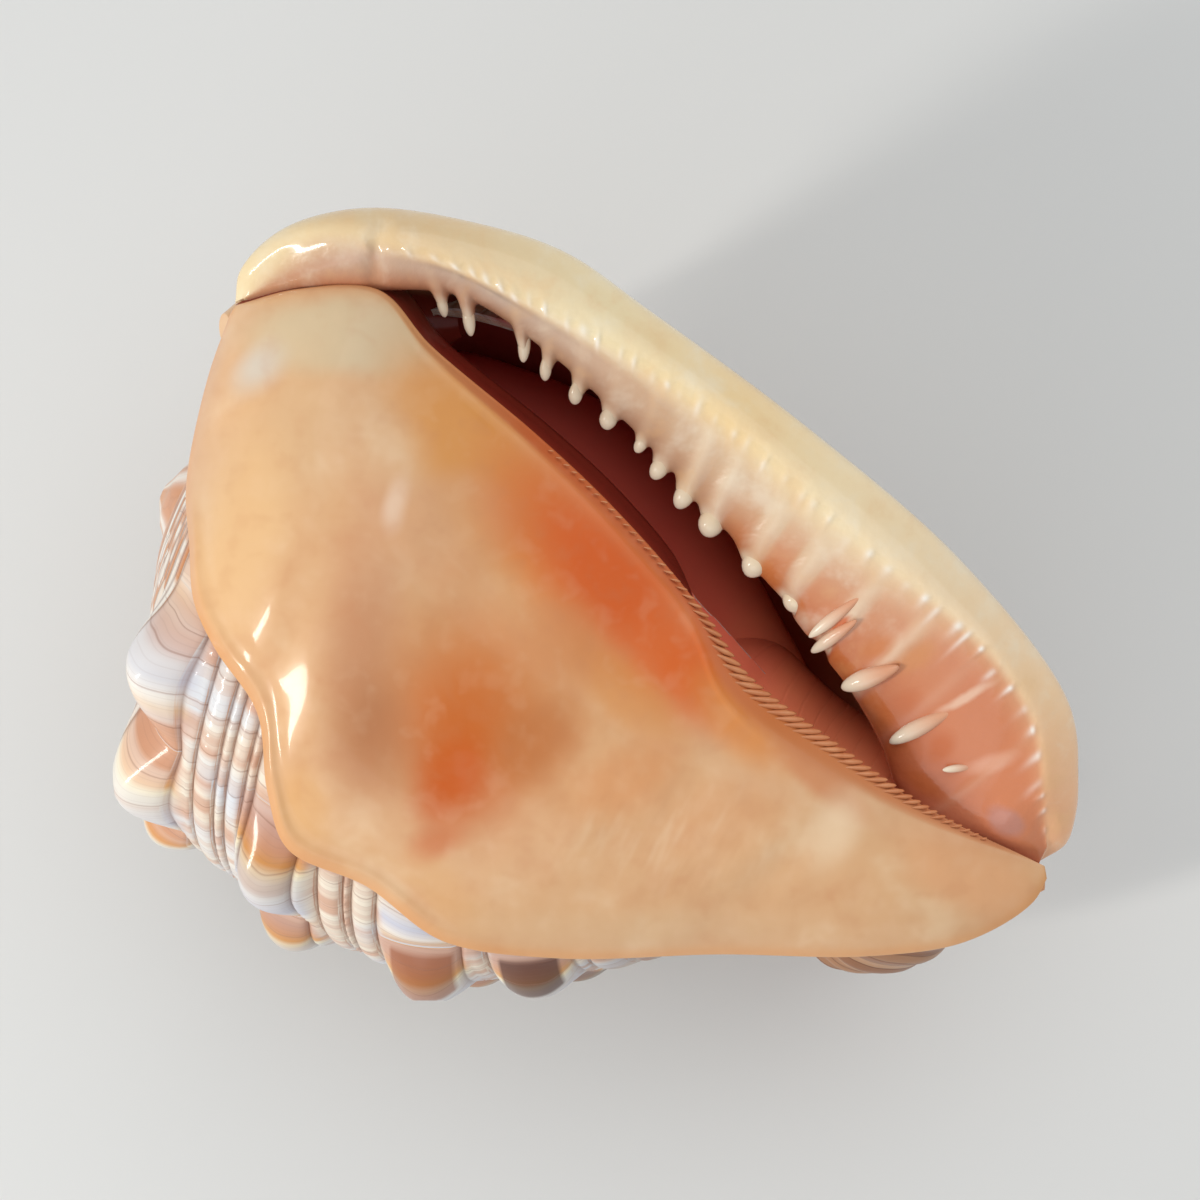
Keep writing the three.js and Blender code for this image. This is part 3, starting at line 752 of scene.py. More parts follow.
def makeLip():
    u = np.linspace(0, 1, lip["stations"])
    o, _ = through(lip["outline"], u)
    c, _ = through(lip["crest"], u)
    t, _ = through(lip["toothLine"], u)
    out = (o - t) * (1, 1, 0)
    small = (np.minimum(1, np.linalg.norm(out, axis=1) / 12) * valueAt(lip["depth"], u))[:, None]
    out = unit(out)
    up = np.array([0, 0, 1.0])

    def beside(p, distance, drop):
        return p + out * distance * small - up * drop * small

    slope = (t + c) / 2 + up * 1.5 * small
    roll = c * 0.4 + o * 0.6 + up * 3 * small
    rings = np.stack([
        t, slope, beside(c, -1.5, 0.3), beside(c, 1.5, 0.1), roll, beside(o, -0.6, -2.5), beside(o, -0.4, 3),
        beside(o, -3.5, 8), beside(o, -9, 15), beside(o, -10, 22), beside(t, 7, 19), beside(t, 2, 7)], axis=1)
    rings = closedThrough(rings, lip["steps"])
    around = np.arange(rings.shape[1]) / lip["steps"]
    around = np.where(around > 11, around - 12, around)[None, :]
    rings = rings.copy()
    line, _ = through(lip["toothLine"], np.linspace(0, 1, 2000))
    length = np.linalg.norm(np.diff(line, axis=0), axis=1).sum()
    run = u[:, None] * length
    onSlope = smooth(around, -0.3, 0.15) * (1 - smooth(around, 0.9, 2.1))
    grown = np.where(around > 0, bell(around, 0.3), bell(around, 0.42))
    ridges = np.zeros((len(u), 1))
    outgrowth = np.zeros(rings.shape)
    pegs = np.zeros(rings.shape[:2])
    for index, (x, y, tipX, tipY, thick) in enumerate(teeth):
        place = np.argmin(np.hypot(line[:, 0] - x, line[:, 1] - y))
        away = run - place / 2000 * length
        peg = np.exp(-np.abs(away / (thick * 0.56)) ** 3) * grown
        if index < len(teeth) - toothForm["onSlope"]:
            ahead = np.array([tipX, tipY, toothForm["tipHeight"]]) - line[place]
            outgrowth += peg[..., None] * ahead * 0.92
            pegs = np.maximum(pegs, peg)
        ridges = np.maximum(ridges, bell(away, 0.5 + thick * 0.24) * ridgeShare(index))
    rings = rings + outgrowth
    rings[..., 2] += ridges * onSlope * lip["ridge"]
    onCrest = bell(around - 2.2, 0.4)
    random = np.random.default_rng(lip["seed"])
    place = lip["firstBead"]
    beads = np.zeros(rings.shape[:2])
    while place < length:
        size = random.uniform(0.3, 1.5)
        bead = bell(run - place, random.uniform(0.5, 0.95))
        rings[..., 2] += onCrest * size * lip["beadHeight"] * bead
        # a painted highlight on each bead, just off the crest's line; beads keeps the strongest
        paintedGlint = bell(around - random.uniform(1.85, 2.25), random.uniform(0.15, 0.4)) * bead ** 2
        beads = np.maximum(beads, paintedGlint * min(0.85, size * 0.7))
        place += lip["beadSpacing"] * random.uniform(0.55, 1.35)
    x, y, reach, height = lip["lobe"]
    far = np.hypot(rings[..., 0] - x, rings[..., 1] - y)
    rings[..., 2] += height * bell(far, reach) * (around > 0) * (around < 4)
    x, y, wide, deep = lip["crease"]
    far = (rings[..., 0] - x) - 0.15 * (rings[..., 1] - y)
    across = smooth(around, -0.3, 0.5) * (1 - smooth(around, 3.5, 5))
    rings[..., 2] -= deep * bell(far, wide) * across * (u < 0.4)[:, None]
    marks = {"run": u[:, None], "ring": around, "ridges": ridges, "tooth": pegs,
             # painted highlights on the crest's beads
             "beads": beads * valueAt(lip["paintedGlints"], u)[:, None]}
    upper = rings[:, (around[0] > -0.4) & (around[0] < 4)].reshape(-1, 3)
    return loft("outerLip", rings, marks, 80), upper


# Geometry Nodes: egg-shaped forms set on points, for the teeth and for the folds of the columella

def addInput(group, label, kind, value=None):
    socket = group.interface.new_socket(label, in_out="INPUT", socket_type=kind)
    if value is not None:
        socket.default_value = value
    return socket.identifier


def makeEggTree(name):
    # every point carries its size (half length, width and height) and its heading (turns in radians)
    group = bpy.data.node_groups.new(name, "GeometryNodeTree")
    group.interface.new_socket("Geometry", in_out="OUTPUT", socket_type="NodeSocketGeometry")
    keys = {"Points": addInput(group, "Points", "NodeSocketGeometry"),
            "Root width": addInput(group, "Root width", "NodeSocketFloat", 0.4),
            "Segments": addInput(group, "Segments", "NodeSocketInt", 20),
            "Material": addInput(group, "Material", "NodeSocketMaterial")}
    given = group.nodes.new("NodeGroupInput").outputs
    ball = add(group, "GeometryNodeMeshUVSphere", {"Segments": given["Segments"], "Rings": given["Segments"],
               "Radius": 1.0})
    position = add(group, "GeometryNodeInputPosition").outputs[0]
    long, side, high = add(group, "ShaderNodeSeparateXYZ", {0: position}).outputs
    width = step(group, long, -1.0, 0.45, given["Root width"], 1.0)
    shaped = add(group, "ShaderNodeCombineXYZ", {0: long, 1: maths(group, "MULTIPLY", side, width),
                 2: maths(group, "MULTIPLY", high, width)})
    tagged = add(group, "GeometryNodeStoreNamedAttribute", {
        "Geometry": ball.outputs["Mesh"], "Name": "tipward", "Value": maths(group, "MULTIPLY", long, 0.5)},
        data_type="FLOAT", domain="POINT")
    egg = add(group, "GeometryNodeSetPosition", {
        "Geometry": tagged.outputs[0], "Position": shaped.outputs[0]})
    size = add(group, "GeometryNodeInputNamedAttribute", {"Name": "size"}, data_type="FLOAT_VECTOR")
    heading = add(group, "GeometryNodeInputNamedAttribute", {"Name": "heading"}, data_type="FLOAT_VECTOR")
    spread = add(group, "GeometryNodeInstanceOnPoints", {
        "Points": given["Points"], "Instance": egg.outputs[0], "Rotation": heading.outputs[0],
        "Scale": size.outputs[0]})
    real = add(group, "GeometryNodeRealizeInstances", {"Geometry": spread.outputs[0]})
    rounded = add(group, "GeometryNodeSetShadeSmooth", {"Geometry": real.outputs[0]})
    coloured = add(group, "GeometryNodeSetMaterial", {"Geometry": rounded.outputs[0],
                   "Material": given["Material"]})
    out = group.nodes.new("NodeGroupOutput")
    group.links.new(coloured.outputs[0], out.inputs[0])
    return group, keys


eggTree, eggKeys = makeEggTree("eggsOnPoints")


def makeEggs(name, middles, aheads, sizes, form, material, shade):
    # one egg for each middle, its thin end back and its round end ahead
    mesh = bpy.data.meshes.new(name)
    mesh.from_pydata(place(middles).tolist(), [], [])
    turns = []
    up = faceTurn @ Vector((0, 0, 1))
    for ahead in aheads:
        x = faceTurn @ Vector(ahead).normalized()
        y = up.cross(x).normalized()
        turns += list(Matrix((x, y, x.cross(y))).transposed().to_euler())
    halves = (np.array(sizes) / 1000).ravel()
    mesh.attributes.new("heading", "FLOAT_VECTOR", "POINT").data.foreach_set("vector", turns)
    mesh.attributes.new("size", "FLOAT_VECTOR", "POINT").data.foreach_set("vector", halves)
    for label, values in shade.items():
        mesh.attributes.new(label, "FLOAT", "POINT").data.foreach_set("value", np.array(values, np.float32))
    piece = bpy.data.objects.new(name, mesh)
    scene.collection.objects.link(piece)
    modifier = piece.modifiers.new("eggs", "NODES")
    modifier.node_group = eggTree
    modifier[eggKeys["Root width"]] = form["rootWidth"]
    modifier[eggKeys["Segments"]] = form["segments"]
    modifier[eggKeys["Material"]] = material
    bake(piece)
    return piece


# Materials

def throatColour(tree):
    # maroon behind, warmer towards the canal
    cloud = maths(tree, "MULTIPLY", noise(tree, facePoint(tree), 0.12, 2.0), 10.0)
    along = maths(tree, "ADD", mark(tree, "faceX"), cloud)
    return ramp(tree, step(tree, along, -30, 70), [
        (0.0, paint(226, 102, 90)), (0.45, paint(234, 108, 90)), (0.6, paint(240, 120, 94)),
        (0.76, paint(246, 140, 100)), (1.0, paint(240, 146, 104))])


shieldPatches = {
    "base": (224, 176, 130),
    "wander": 5,                              # mm, how far the borders stray
    # x, y, half length, half width in mm, turn in degrees, core, strength, screen colour
    "spots": [
        (-57, 12, 27, 12, 82, 0.3, 0.85, (234, 190, 138)),
        (-40, 42, 22, 9, -4, 0.45, 0.9, (218, 195, 158)),
        (-47, 28, 17, 10, 80, 0.2, 0.5, (222, 184, 140)),
        (-54, 37, 8, 6, 40, 0.1, 0.85, (216, 206, 190)),
        (-48, -14, 11, 4.5, 80, 0.2, 0.6, (236, 192, 144)),
        (-36, 2, 24, 9, 82, 0.2, 0.6, (210, 154, 116)),
        (-16, 18, 34, 11, -52, 0.4, 0.95, (224, 152, 76)),
        (-22.6, 11, 12.5, 11, 0, 0.55, 0.7, (222, 166, 120)),
        # a painted highlight: a pale soft oval on the dome
        (-31.4, 15, 6.5, 2.8, 80, 0.1, 0.5, (246, 220, 196)),
        (-4, 0, 38, 20, -50, 0.1, 0.6, (224, 150, 84)),
        (1, 4, 35, 14.5, -49, 0.15, 1.0, (218, 92, 0)),
        (14.4, -11, 17, 11.5, -42, 0.1, 0.95, (224, 98, 0)),
        (23, -19, 15, 7.5, -42, 0.2, 0.85, (226, 140, 64)),
        (4, -14, 17, 6, -45, 0.3, 0.6, (218, 140, 66)),
        (-5, -6, 12, 9, -50, 0.2, 0.6, (212, 134, 78)),
        (35, -28, 13, 3.6, -38, 0.3, 0.75, (212, 132, 80)),
        (-30, -20, 22, 12, 85, 0.1, 0.6, (208, 138, 92)),
        (-38, -10, 22, 9.5, 82, 0.1, 0.65, (194, 134, 96)),
        (-36, -22, 18, 10, 78, 0.0, 0.8, (184, 118, 76)),
        (-18, -14, 28, 18, -62, 0.1, 0.6, (214, 138, 80)),
        (-18, -15, 21, 16, -40, 0.05, 0.8, (208, 122, 62)),
        (-21.5, -24, 21, 14, -80, 0.05, 0.95, (198, 98, 30)),
        (-24, -29, 12, 8, 66, 0.05, 0.75, (206, 88, 14)),
        (-11, -22, 12, 8, 45, 0.2, 0.7, (196, 118, 64)),
        (-26, -39, 8, 4.5, 30, 0.15, 0.7, (206, 112, 60)),
        (-47, -33, 10, 6, -70, 0.2, 0.7, (226, 172, 112)),
        (-25, -47, 12, 6, -45, 0.2, 0.6, (224, 172, 118)),
        (4, -28, 14, 8, 20, 0.2, 0.6, (224, 150, 94)),
        (18, -34, 18, 9, 20, 0.2, 0.5, (222, 160, 112)),
        (37, -36, 10, 6, 60, 0.1, 0.8, (240, 208, 170)),
        (60, -44, 20, 9, -30, 0.3, 0.8, (232, 172, 124)),
        (6, -53, 38, 5, 0, 0.2, 0.5, (222, 182, 138)),
    ],
    "streaks": (12, -38, 34, 15),             # where the radiating streaks lie: x, y, half length and width
    "streakTurn": -66,
}


def makeShieldPaint():
    material, tree, shader = newMaterial("shieldGlaze", 0.3, 0.3)
    wide = facePoint(tree, shieldPatches["wander"], 0.05)
    cloud = noise(tree, wide, 0.07, 3.0, 0.6)
    colour = paint(*shieldPatches["base"])
    colour = blend(tree, step(tree, cloud, 0.5, 0.75, 0.0, 0.5), colour, paint(240, 208, 168))
    colour = blend(tree, step(tree, cloud, 0.5, 0.3, 0.0, 0.4), colour, paint(210, 148, 102))
    colour = addSpots(tree, colour, wide, shieldPatches["spots"])
    plain = facePoint(tree)
    mottle = noise(tree, plain, 0.2, 2.0, 0.5, 0.2)
    colour = blend(tree, step(tree, mottle, 0.5, 0.72, 0.0, 0.08), colour, paint(246, 212, 176))
    colour = blend(tree, step(tree, mottle, 0.5, 0.28, 0.0, 0.14), colour, paint(200, 130, 86))
    streaked = spotMask(tree, plain, *shieldPatches["streaks"])
    turned = turnFlat(tree, plain, math.radians(shieldPatches["streakTurn"]))
    streak = noise(tree, vectorMaths(tree, "MULTIPLY", turned, (0.035, 0.13, 1)), 1.0, 3.0, 0.6)
    light = maths(tree, "MULTIPLY", streaked, step(tree, streak, 0.5, 0.7, 0.0, 0.6))
    shade = maths(tree, "MULTIPLY", streaked, step(tree, streak, 0.5, 0.32, 0.0, 0.45))
    colour = blend(tree, light, colour, paint(238, 204, 166))
    colour = blend(tree, shade, colour, paint(208, 152, 108))
    edgeColour = ramp(tree, mark(tree, "run"), [
        (0.2, paint(216, 160, 110)), (0.36, paint(206, 110, 64)), (0.6, paint(212, 120, 78)),
        (0.7, paint(206, 122, 66)), (0.9, paint(214, 150, 106))])
    colour = blend(tree, mark(tree, "band"), colour, edgeColour)
    colour = blend(tree, maths(tree, "MULTIPLY", mark(tree, "rim"), 0.55), colour, paint(228, 154, 84))
    # painted shade: dark maroon on the shield's wall inside the aperture and on the corner pad under the hind lip
    colour = blend(tree, mark(tree, "throatAndShade"), colour, paint(138, 50, 38))
    tree.links.new(colour, shader.inputs["Base Color"])
    addBump(tree, shader, noise(tree, plain, 0.16, 2.0, 0.4), 0.2, 0.0012)
    return material


lipColours = {
    # from the hind end, 0, to the canal, 1: the outer side, the slope inside the crest, and the slope's foot
    "outer": [(0.0, (243, 222, 178)), (0.18, (230, 198, 152)), (0.36, (244, 224, 180)),
              (0.5, (248, 216, 162)), (0.6, (250, 226, 182)), (0.72, (246, 220, 180)),
              (0.85, (246, 208, 164)), (0.95, (242, 182, 136))],
    "slope": [(0.05, (200, 148, 114)), (0.25, (214, 194, 176)), (0.45, (206, 172, 138)),
              (0.6, (220, 188, 152)), (0.7, (216, 160, 122)), (0.8, (210, 130, 90)), (0.92, (212, 132, 92))],
    "foot": [(0.1, (190, 120, 84)), (0.3, (190, 150, 122)), (0.5, (190, 148, 118)), (0.58, (196, 112, 62)),
             (0.7, (182, 82, 46)), (0.8, (196, 96, 58)), (0.9, (226, 136, 100))],
    # as on the shield
    "spots": [
        (44, -7.5, 4.2, 2.4, 30, 0.2, 0.8, (206, 122, 62)),
        (50, -9, 5, 3, 30, 0.2, 0.7, (214, 142, 84)),
        (48.4, -16.6, 4.6, 2.6, 35, 0.2, 0.8, (204, 112, 62)),
        (54.5, -23.6, 4, 3, 60, 0.2, 0.8, (204, 108, 56)),
        (52, -29.6, 6, 2.4, -35, 0.2, 0.7, (206, 110, 60)),
        (62.4, -26, 6, 2, 20, 0.2, 0.6, (234, 178, 150)),
        (58, -15.4, 7, 1.2, 32, 0.2, 0.7, (240, 204, 176)),
        (64.8, -35.4, 4.2, 2.8, -32, 0.5, 0.8, (198, 138, 122)),
        (38, -4, 2.8, 0.9, 40, 0.4, 0.95, (206, 108, 56)),
        (-35.5, 52, 1.6, 4.5, 8, 0.1, 0.6, (200, 148, 114)),
    ],
}


def makeLipPaint():
    material, tree, shader = newMaterial("lipGlaze", 0.25, 0.6)
    run, ring = mark(tree, "run"), mark(tree, "ring")
    point = facePoint(tree, 6.0, 0.06)
    outer, slope, foot = (ramp(tree, run, [(place, paint(*tint)) for place, tint in lipColours[part]])
                          for part in ("outer", "slope", "foot"))
    soft = step(tree, run, 0.2, 0.08)
    front = step(tree, run, 0.64, 0.82)
    border = maths(tree, "MULTIPLY_ADD", soft, -0.5, ring)
    border = maths(tree, "MULTIPLY_ADD", front, -0.45, border)
    outside = maths(tree, "MULTIPLY_ADD", soft, 0.9, 2.4)
    colour = blend(tree, step(tree, border, outside, 1.1), outer, slope)
    colour = blend(tree, step(tree, ring, 1.1, 0.1), colour, foot)
    colour = blend(tree, step(tree, mark(tree, "tooth"), 0.25, 0.8), colour, paint(238, 220, 192))
    ridge = mark(tree, "ridges")
    ridges = maths(tree, "MULTIPLY", ridge, step(tree, ring, 2.2, 1.4))
    ridges = maths(tree, "MULTIPLY", ridges, step(tree, run, 0.6, 0.85, 0.55, 0.4))
    colour = blend(tree, ridges, colour, paint(240, 218, 186))
    between = maths(tree, "MULTIPLY", step(tree, ridge, 0.35, 0.0), step(tree, ring, 1.8, 0.6))
    between = maths(tree, "MULTIPLY", between, step(tree, run, 0.52, 0.62))
    between = maths(tree, "MULTIPLY", between, step(tree, run, 0.86, 0.76))
    colour = blend(tree, maths(tree, "MULTIPLY", between, 0.6), colour, paint(206, 120, 66))
    cloud = noise(tree, point, 0.09, 4.0, 0.6)
    creamy = maths(tree, "SUBTRACT", 1.0, maths(tree, "MULTIPLY", front, step(tree, ring, 3.0, 2.0)))
    light = maths(tree, "MULTIPLY", creamy, step(tree, cloud, 0.48, 0.72, 0.0, 0.45))
    shade = maths(tree, "MULTIPLY", creamy, step(tree, cloud, 0.5, 0.3, 0.0, 0.35))
    colour = blend(tree, light, colour, paint(246, 236, 212))
    colour = blend(tree, shade, colour, paint(234, 188, 130))
    colour = addSpots(tree, colour, facePoint(tree, 1.0, 0.3), lipColours["spots"])
    # painted highlights on the crest's beads
    colour = blend(tree, mark(tree, "beads"), colour, paint(255, 250, 240))
    # the lip's wall inside the aperture takes the throat's own colour
    throatAndShade = step(tree, ring, -0.1, -0.9)
    colour = blend(tree, throatAndShade, colour, throatColour(tree))
    back = step(tree, ring, 7.0, 9.0)
    colour = blend(tree, maths(tree, "MULTIPLY", back, 0.8), colour, paint(214, 178, 140))
    tree.links.new(colour, shader.inputs["Base Color"])
    addBump(tree, shader, noise(tree, facePoint(tree), 0.35, 3.0, 0.5), 0.25, 0.001)
    return material


def makeBodyPaint():
    material, tree, shader = newMaterial("whorlPaint", 0.34, 0.35)
    along, around, cord = mark(tree, "along"), mark(tree, "around"), mark(tree, "cord")
    zone, across = mark(tree, "zone"), mark(tree, "across")
    lines, lineShade = growth(tree, around, along, 4.2, 0.045, 2.0)
    fineLines, fineShade = growth(tree, around, along, 0.9, 0.14, 2.0)
    byCord = place2d(tree, around, 0.22, cord, 3.7)
    blotch = noise(tree, byCord, 1.0, 2.0, 0.5)
    cool = noise(tree, place2d(tree, around, 0.11, along, 0.05), 0.8, 1.0)
    colour = blend(tree, step(tree, cool, 0.4, 0.62), paint(244, 231, 212), paint(226, 228, 232))
    colour = blend(tree, step(tree, blotch, 0.44, 0.62, 0.0, 0.85), colour, paint(216, 168, 140))
    colour = blend(tree, step(tree, fineShade, 0.3, 0.9, 0.0, 0.3), colour, paint(206, 166, 142))
    # from the far valley over the knob to the near valley: pink, blue-grey, white tip, amber, pinkish brown
    knob = ramp(tree, maths(tree, "ADD", across, 0.5), [
        (0.0, paint(214, 174, 154)), (0.07, paint(232, 196, 156)), (0.15, paint(244, 236, 226)),
        (0.26, paint(202, 206, 222)), (0.42, paint(214, 212, 218)), (0.62, paint(230, 224, 210)),
        (0.67, paint(246, 232, 196)), (0.72, paint(228, 160, 74)), (0.79, paint(214, 150, 104)),
        (0.88, paint(206, 160, 138)), (1.0, paint(214, 174, 154))])
    colour = blend(tree, maths(tree, "MULTIPLY", zone, 0.9), colour, knob)
    brown = blend(tree, step(tree, along, 82, 90), paint(160, 88, 50), paint(88, 46, 36))
    colour = blend(tree, maths(tree, "MULTIPLY", mark(tree, "patch"), 0.9), colour, brown)
    # on the ramp of the whorls the fine cords are white and amber by turns
    ramped = step(tree, cord, 5.6, 4.4)
    streak = step(tree, noise(tree, byCord, 0.5, 2.0), 0.46, 0.56)
    shoulder = blend(tree, streak, paint(246, 238, 226), paint(214, 142, 88))
    colour = blend(tree, maths(tree, "MULTIPLY", ramped, 0.85), colour, shoulder)
    dark = maths(tree, "MULTIPLY", lines, step(tree, lineShade, 0.25, 0.9, 0.1, 0.5))
    colour = blend(tree, dark, colour, paint(150, 104, 84))
    colour = blend(tree, maths(tree, "MULTIPLY", fineLines, 0.1), colour, paint(142, 104, 86))
    colour = blend(tree, step(tree, along, 97, 112, 0.0, 0.55), colour, paint(128, 98, 88))
    groove = maths(tree, "POWER", mark(tree, "groove"), 1.6)
    colour = blend(tree, maths(tree, "MULTIPLY", groove, 0.6), colour, paint(132, 92, 74))
    colour = blend(tree, mark(tree, "inside"), colour, throatColour(tree))
    tree.links.new(colour, shader.inputs["Base Color"])
    height = maths(tree, "SUBTRACT", maths(tree, "MULTIPLY", fineShade, 0.35), lines)
    addBump(tree, shader, height, 0.2, 0.0002)
    return material


def makeThroatPaint():
    material, tree, shader = newMaterial("throatGlaze", 0.35, 0.2)
    tree.links.new(throatColour(tree), shader.inputs["Base Color"])
    return material


def makeToothPaint():
    # cream, with a root that is warmer the further it stands to the front
    material, tree, shader = newMaterial("toothGlaze", 0.2, 0.6)
    root = ramp(tree, mark(tree, "warm"), [
        (0.0, paint(222, 198, 168)), (0.6, paint(238, 204, 158)), (1.0, paint(222, 160, 124))])
    colour = blend(tree, step(tree, mark(tree, "tipward"), -0.4, 0.5), root, paint(246, 231, 205))
    tree.links.new(colour, shader.inputs["Base Color"])
    return material


def makeFoldPaint():
    material, tree, shader = newMaterial("foldGlaze", 0.25, 0.5)
    coords = add(tree, "ShaderNodeTexCoord").outputs["Object"]
    cloud = noise(tree, coords, 400.0, 2.0)
    colour = blend(tree, cloud, paint(198, 110, 62), paint(226, 160, 112))
    tree.links.new(colour, shader.inputs["Base Color"])
    return material


def makeCanalPaint():
    material, tree, shader = newMaterial("canalPaint", 0.4, 0.3)
    lines, shade = growth(tree, mark(tree, "along"), mark(tree, "around"), 1.5, 0.12, 1.0)
    colour = blend(tree, shade, paint(190, 144, 108), paint(146, 98, 70))
    colour = blend(tree, maths(tree, "MULTIPLY", lines, 0.6), colour, paint(116, 76, 56))
    colour = blend(tree, mark(tree, "inside"), colour, throatColour(tree))
    tree.links.new(colour, shader.inputs["Base Color"])
    addBump(tree, shader, maths(tree, "SUBTRACT", 1.0, lines), 0.3, 0.0003)
    return material


shieldPaint = makeShieldPaint()
lipPaint = makeLipPaint()
bodyPaint = makeBodyPaint()
throatPaint = makeThroatPaint()
toothPaint = makeToothPaint()
foldPaint = makeFoldPaint()
canalPaint = makeCanalPaint()


# Build the pieces

body = whorl("bodyWhorl", lipTurn, coil["lastTurn"], coil["frontEnd"], 0, coil["columns"])
hollowTool = makeHollow()
body.data.materials.append(bodyPaint)
hollowTool.data.materials.append(throatPaint)
cutWith(body, hollowTool)
finishPiece(body, bodyPaint, throatPaint)

spire = whorl("spire", spireTurns["first"], spireTurns["last"], spireTurns["end"], spireTurns["inset"],
              spireTurns["columns"])
finishPiece(spire, bodyPaint)

finishPiece(makeShield(), shieldPaint)
lipPiece, lipTop = makeLip()
finishPiece(lipPiece, lipPaint)

ends = {
    "neck": [(0, -14, -49, 12), (18, -27, -38, 23), (36, -34.6, -35, 18), (52, -39.8, -29, 14),
             (61, -41.6, -25.5, 9), (68.5, -42.2, -20.5, 4)],
    "canal": [(46, -34, -30, 17), (53, -42, -40, 15.5), (49, -52.2, -51, 13), (43, -55.2, -61, 10.5)],
    "canalBore": [(50, -48, -46, 3), (47, -53.2, -56, 6.5), (42, -56.2, -66, 9)],
    "tip": [(-67.5, 14.5, -48.8, 15), (-71, 16.5, -49.3, 10), (-74, 17.7, -49.8, 6), (-76, 18.5, -50, 2)],
    "corner": [(-61.5, 44.5, -20, 2.5), (-57, 45, -22.5, 6), (-51, 46, -26, 9), (-43, 46, -29, 11),
               (-33, 47, -30, 9), (-23, 47, -28, 3)],
}


def canalRelief(u, angle):
    return 0.35 * np.cos(u * 60) + 0.25 * np.cos(angle * 5)


finishPiece(makeTube("neck", ends["neck"], 60, 64, {"inside": inAperture}), canalPaint)
canal = makeTube("siphonCanal", ends["canal"], 90, 96, relief=canalRelief)
bore = makeTube("bore", ends["canalBore"], 24, 48)
bore.data.materials.append(throatPaint)
canal.data.materials.append(canalPaint)
cutWith(canal, bore)
finishPiece(canal, canalPaint, throatPaint)
finishPiece(makeTube("spireTip", ends["tip"], 40, 64), bodyPaint)
# the corner pad takes the shield's finish, with painted shade where it shows under the hind lip
finishPiece(makeTube("cornerPad", ends["corner"], 50, 64, {"throatAndShade": underHindLip}), shieldPaint)


def onLip(x, y, above):
    # a point over x and y, so far above the upper side of the lip
    nearest = np.hypot(lipTop[:, 0] - x, lipTop[:, 1] - y).argmin()
    return np.array([x, y, lipTop[nearest, 2] + above])


def makeTeeth():
    middles, aheads, sizes, warm = [], [], [], []
    firstOnSlope = len(teeth) - toothForm["onSlope"]
    for index, (rootX, rootY, tipX, tipY, thick) in enumerate(teeth + toothForm["arms"]):
        if index == toothForm["loop"]:
            continue
        if index < firstOnSlope:
            root = np.array([rootX, rootY, toothForm["rootHeight"]])
            tip = np.array([tipX, tipY, toothForm["tipHeight"]])
        else:
            root = onLip(rootX, rootY, -toothForm["rootSunk"])
            tip = onLip(tipX, tipY, toothForm["tipProud"])
        ahead = tip - root
        middle = root + ahead * 0.52
        if index >= firstOnSlope:
            middle[2] = max(middle[2], onLip(middle[0], middle[1], 0.1)[2])
        middles.append(middle)
        aheads.append(ahead)
        sizes.append((np.linalg.norm(ahead) * 0.5 + 0.6, thick * 0.48, thick * 0.46))
        warm.append(min(0.6, max(0, (rootX - 5) / 50)) if index < firstOnSlope else 1)
    return makeEggs("lipTeeth", middles, aheads, sizes, toothForm, toothPaint, {"warm": warm})


finishPiece(makeTeeth(), toothPaint)

folds = {
    "first": 0.38, "last": 0.93, "count": 57,     # along the shield's inner edge
    "size": [(0.38, 0.2), (0.56, 0.4), (0.64, 1), (0.75, 1), (0.85, 0.7), (0.93, 0.25)],
    "long": 2.7, "wide": 0.46, "tall": 0.6,       # mm, half of each
    "slant": 33,                                  # degrees from the edge
    "rootWidth": 0.5,
    "segments": 10,
}


def makeFolds():
    places = np.linspace(folds["first"], folds["last"], folds["count"])
    edge, along = through(shield["innerEdge"], places)
    scale = valueAt(folds["size"], places)
    slant = math.radians(folds["slant"])
    outward = np.stack([-along[:, 1], along[:, 0], np.zeros(len(along))], 1)
    headings = along * math.cos(slant) + outward * math.sin(slant) - np.array([0, 0, 0.25])
    middles = edge + (np.array([0, 0, 0.1]) - outward * 0.7) * scale[:, None]
    sizes = np.stack([folds["long"] * scale, folds["wide"] * scale + 0.1, folds["tall"] * scale + 0.1], 1)
    return makeEggs("columellaFolds", middles, headings, sizes, folds, foldPaint, {})


finishPiece(makeFolds(), foldPaint)


# Floor, light and camera

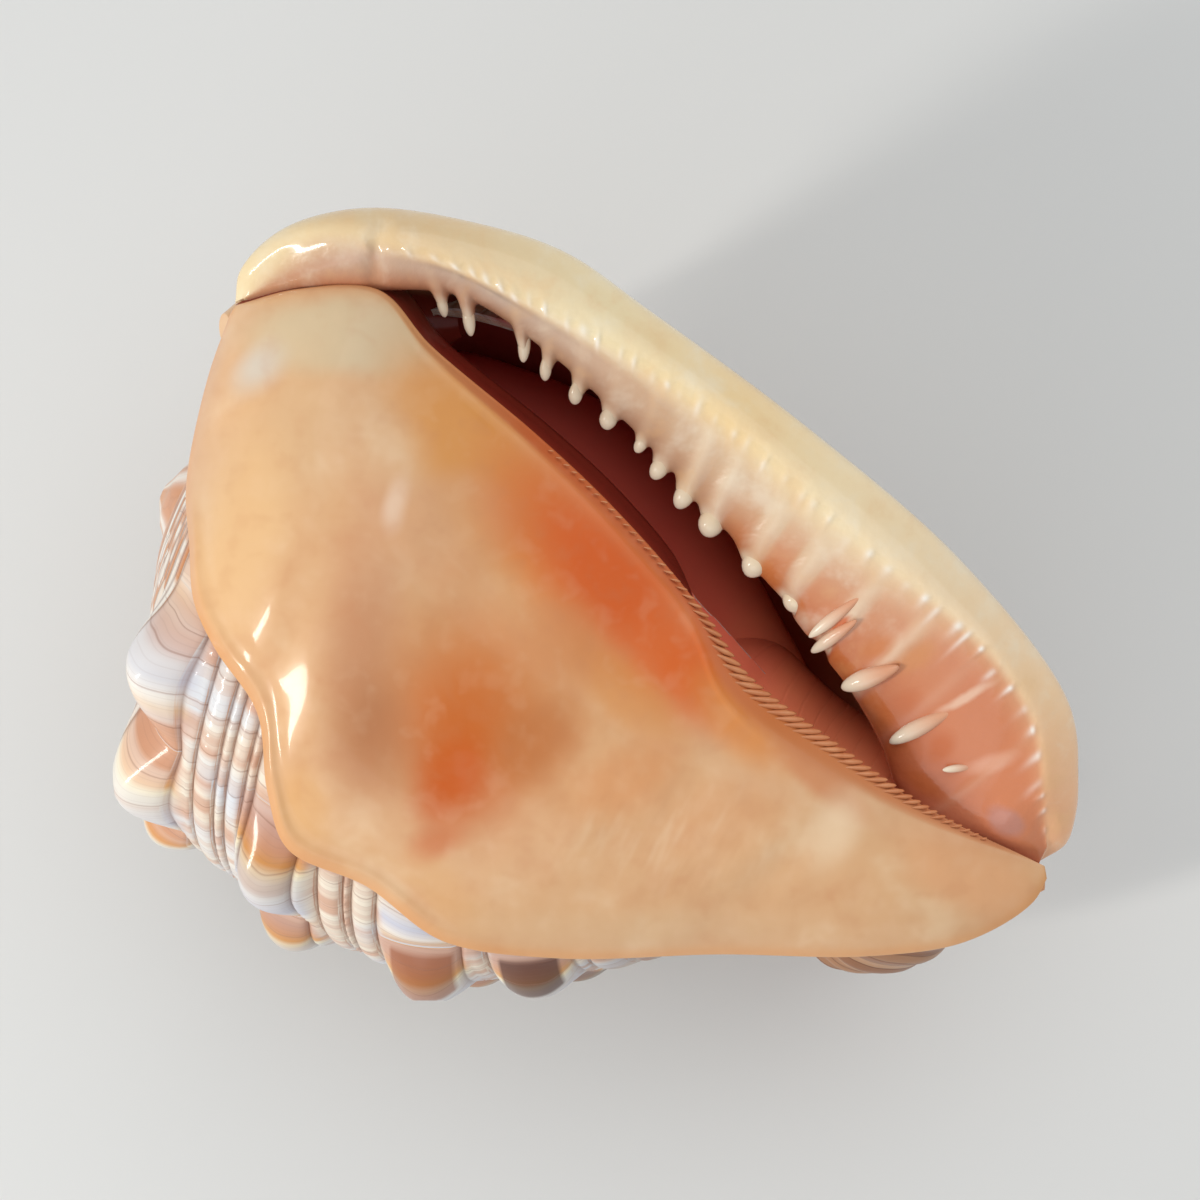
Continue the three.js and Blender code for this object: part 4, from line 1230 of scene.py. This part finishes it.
studio = {
    "floorReach": 3,                          # metres from the middle
    "floorColour": (222, 222, 220),
    "skyColour": (0.92, 0.96, 1.0, 1),
    "skyStrength": 0.5,
    "target": (0, 0, 0.06),
    # direction from the shell in the face frame, distance, size, power, colour
    "lights": {
        "window": ((-0.88, -0.3, 0.4), 0.9, (0.08, 0.38), 3.8, (1.0, 0.97, 0.92)),
        "overhead": ((0.25, 0.6, 0.9), 1.5, (1.9, 1.9), 11, (1.0, 0.99, 0.97)),
        "fill": ((-0.45, -0.9, 0.6), 1.2, (0.8, 0.8), 1.8, (0.95, 0.97, 1.0)),
    },
}
cameraSetup = {
    "height": 450,                            # mm above the face
    "widthAtFace": 188.4,                     # mm across the picture there
    "sensor": 36,
}


def makeFloor():
    reach = studio["floorReach"]
    mesh = bpy.data.meshes.new("floor")
    corners = [(-reach, -reach, 0), (reach, -reach, 0), (reach, reach, 0), (-reach, reach, 0)]
    mesh.from_pydata(corners, [], [(0, 1, 2, 3)])
    floor = bpy.data.objects.new("floor", mesh)
    scene.collection.objects.link(floor)
    material, _, shader = newMaterial("paleFloor", 0.8)
    shader.inputs["Base Color"].default_value = paint(*studio["floorColour"])
    mesh.materials.append(material)
    return floor


def makeSky():
    world = bpy.data.worlds.new("studio")
    world.use_nodes = True
    background = world.node_tree.nodes["Background"]
    background.inputs[0].default_value = studio["skyColour"]
    background.inputs[1].default_value = studio["skyStrength"]
    scene.world = world


def makeLight(name, towards, distance, size, power, colour):
    data = bpy.data.lights.new(name, "AREA")
    data.shape = "RECTANGLE"
    data.size, data.size_y = size
    data.energy = power
    data.color = colour
    light = bpy.data.objects.new(name, data)
    aim = faceTurn @ Vector(towards).normalized()
    light.location = Vector(studio["target"]) + aim * distance
    light.rotation_euler = aim.to_track_quat("Z", "Y").to_euler()
    scene.collection.objects.link(light)


def makeCamera():
    # looks straight down on the face
    data = bpy.data.cameras.new("camera")
    data.sensor_width = cameraSetup["sensor"]
    data.lens = cameraSetup["sensor"] * cameraSetup["height"] / cameraSetup["widthAtFace"]
    camera = bpy.data.objects.new("camera", data)
    spot = faceTurn @ Vector((0, 0, cameraSetup["height"])) + Vector(setDown["shift"])
    camera.matrix_world = Matrix.Translation(spot / 1000) @ faceTurn.to_4x4()
    scene.collection.objects.link(camera)
    scene.camera = camera


floor = makeFloor()
makeSky()
for name, setup in studio["lights"].items():
    makeLight(name, *setup)
makeCamera()
print("made the floor, the lights and the camera")
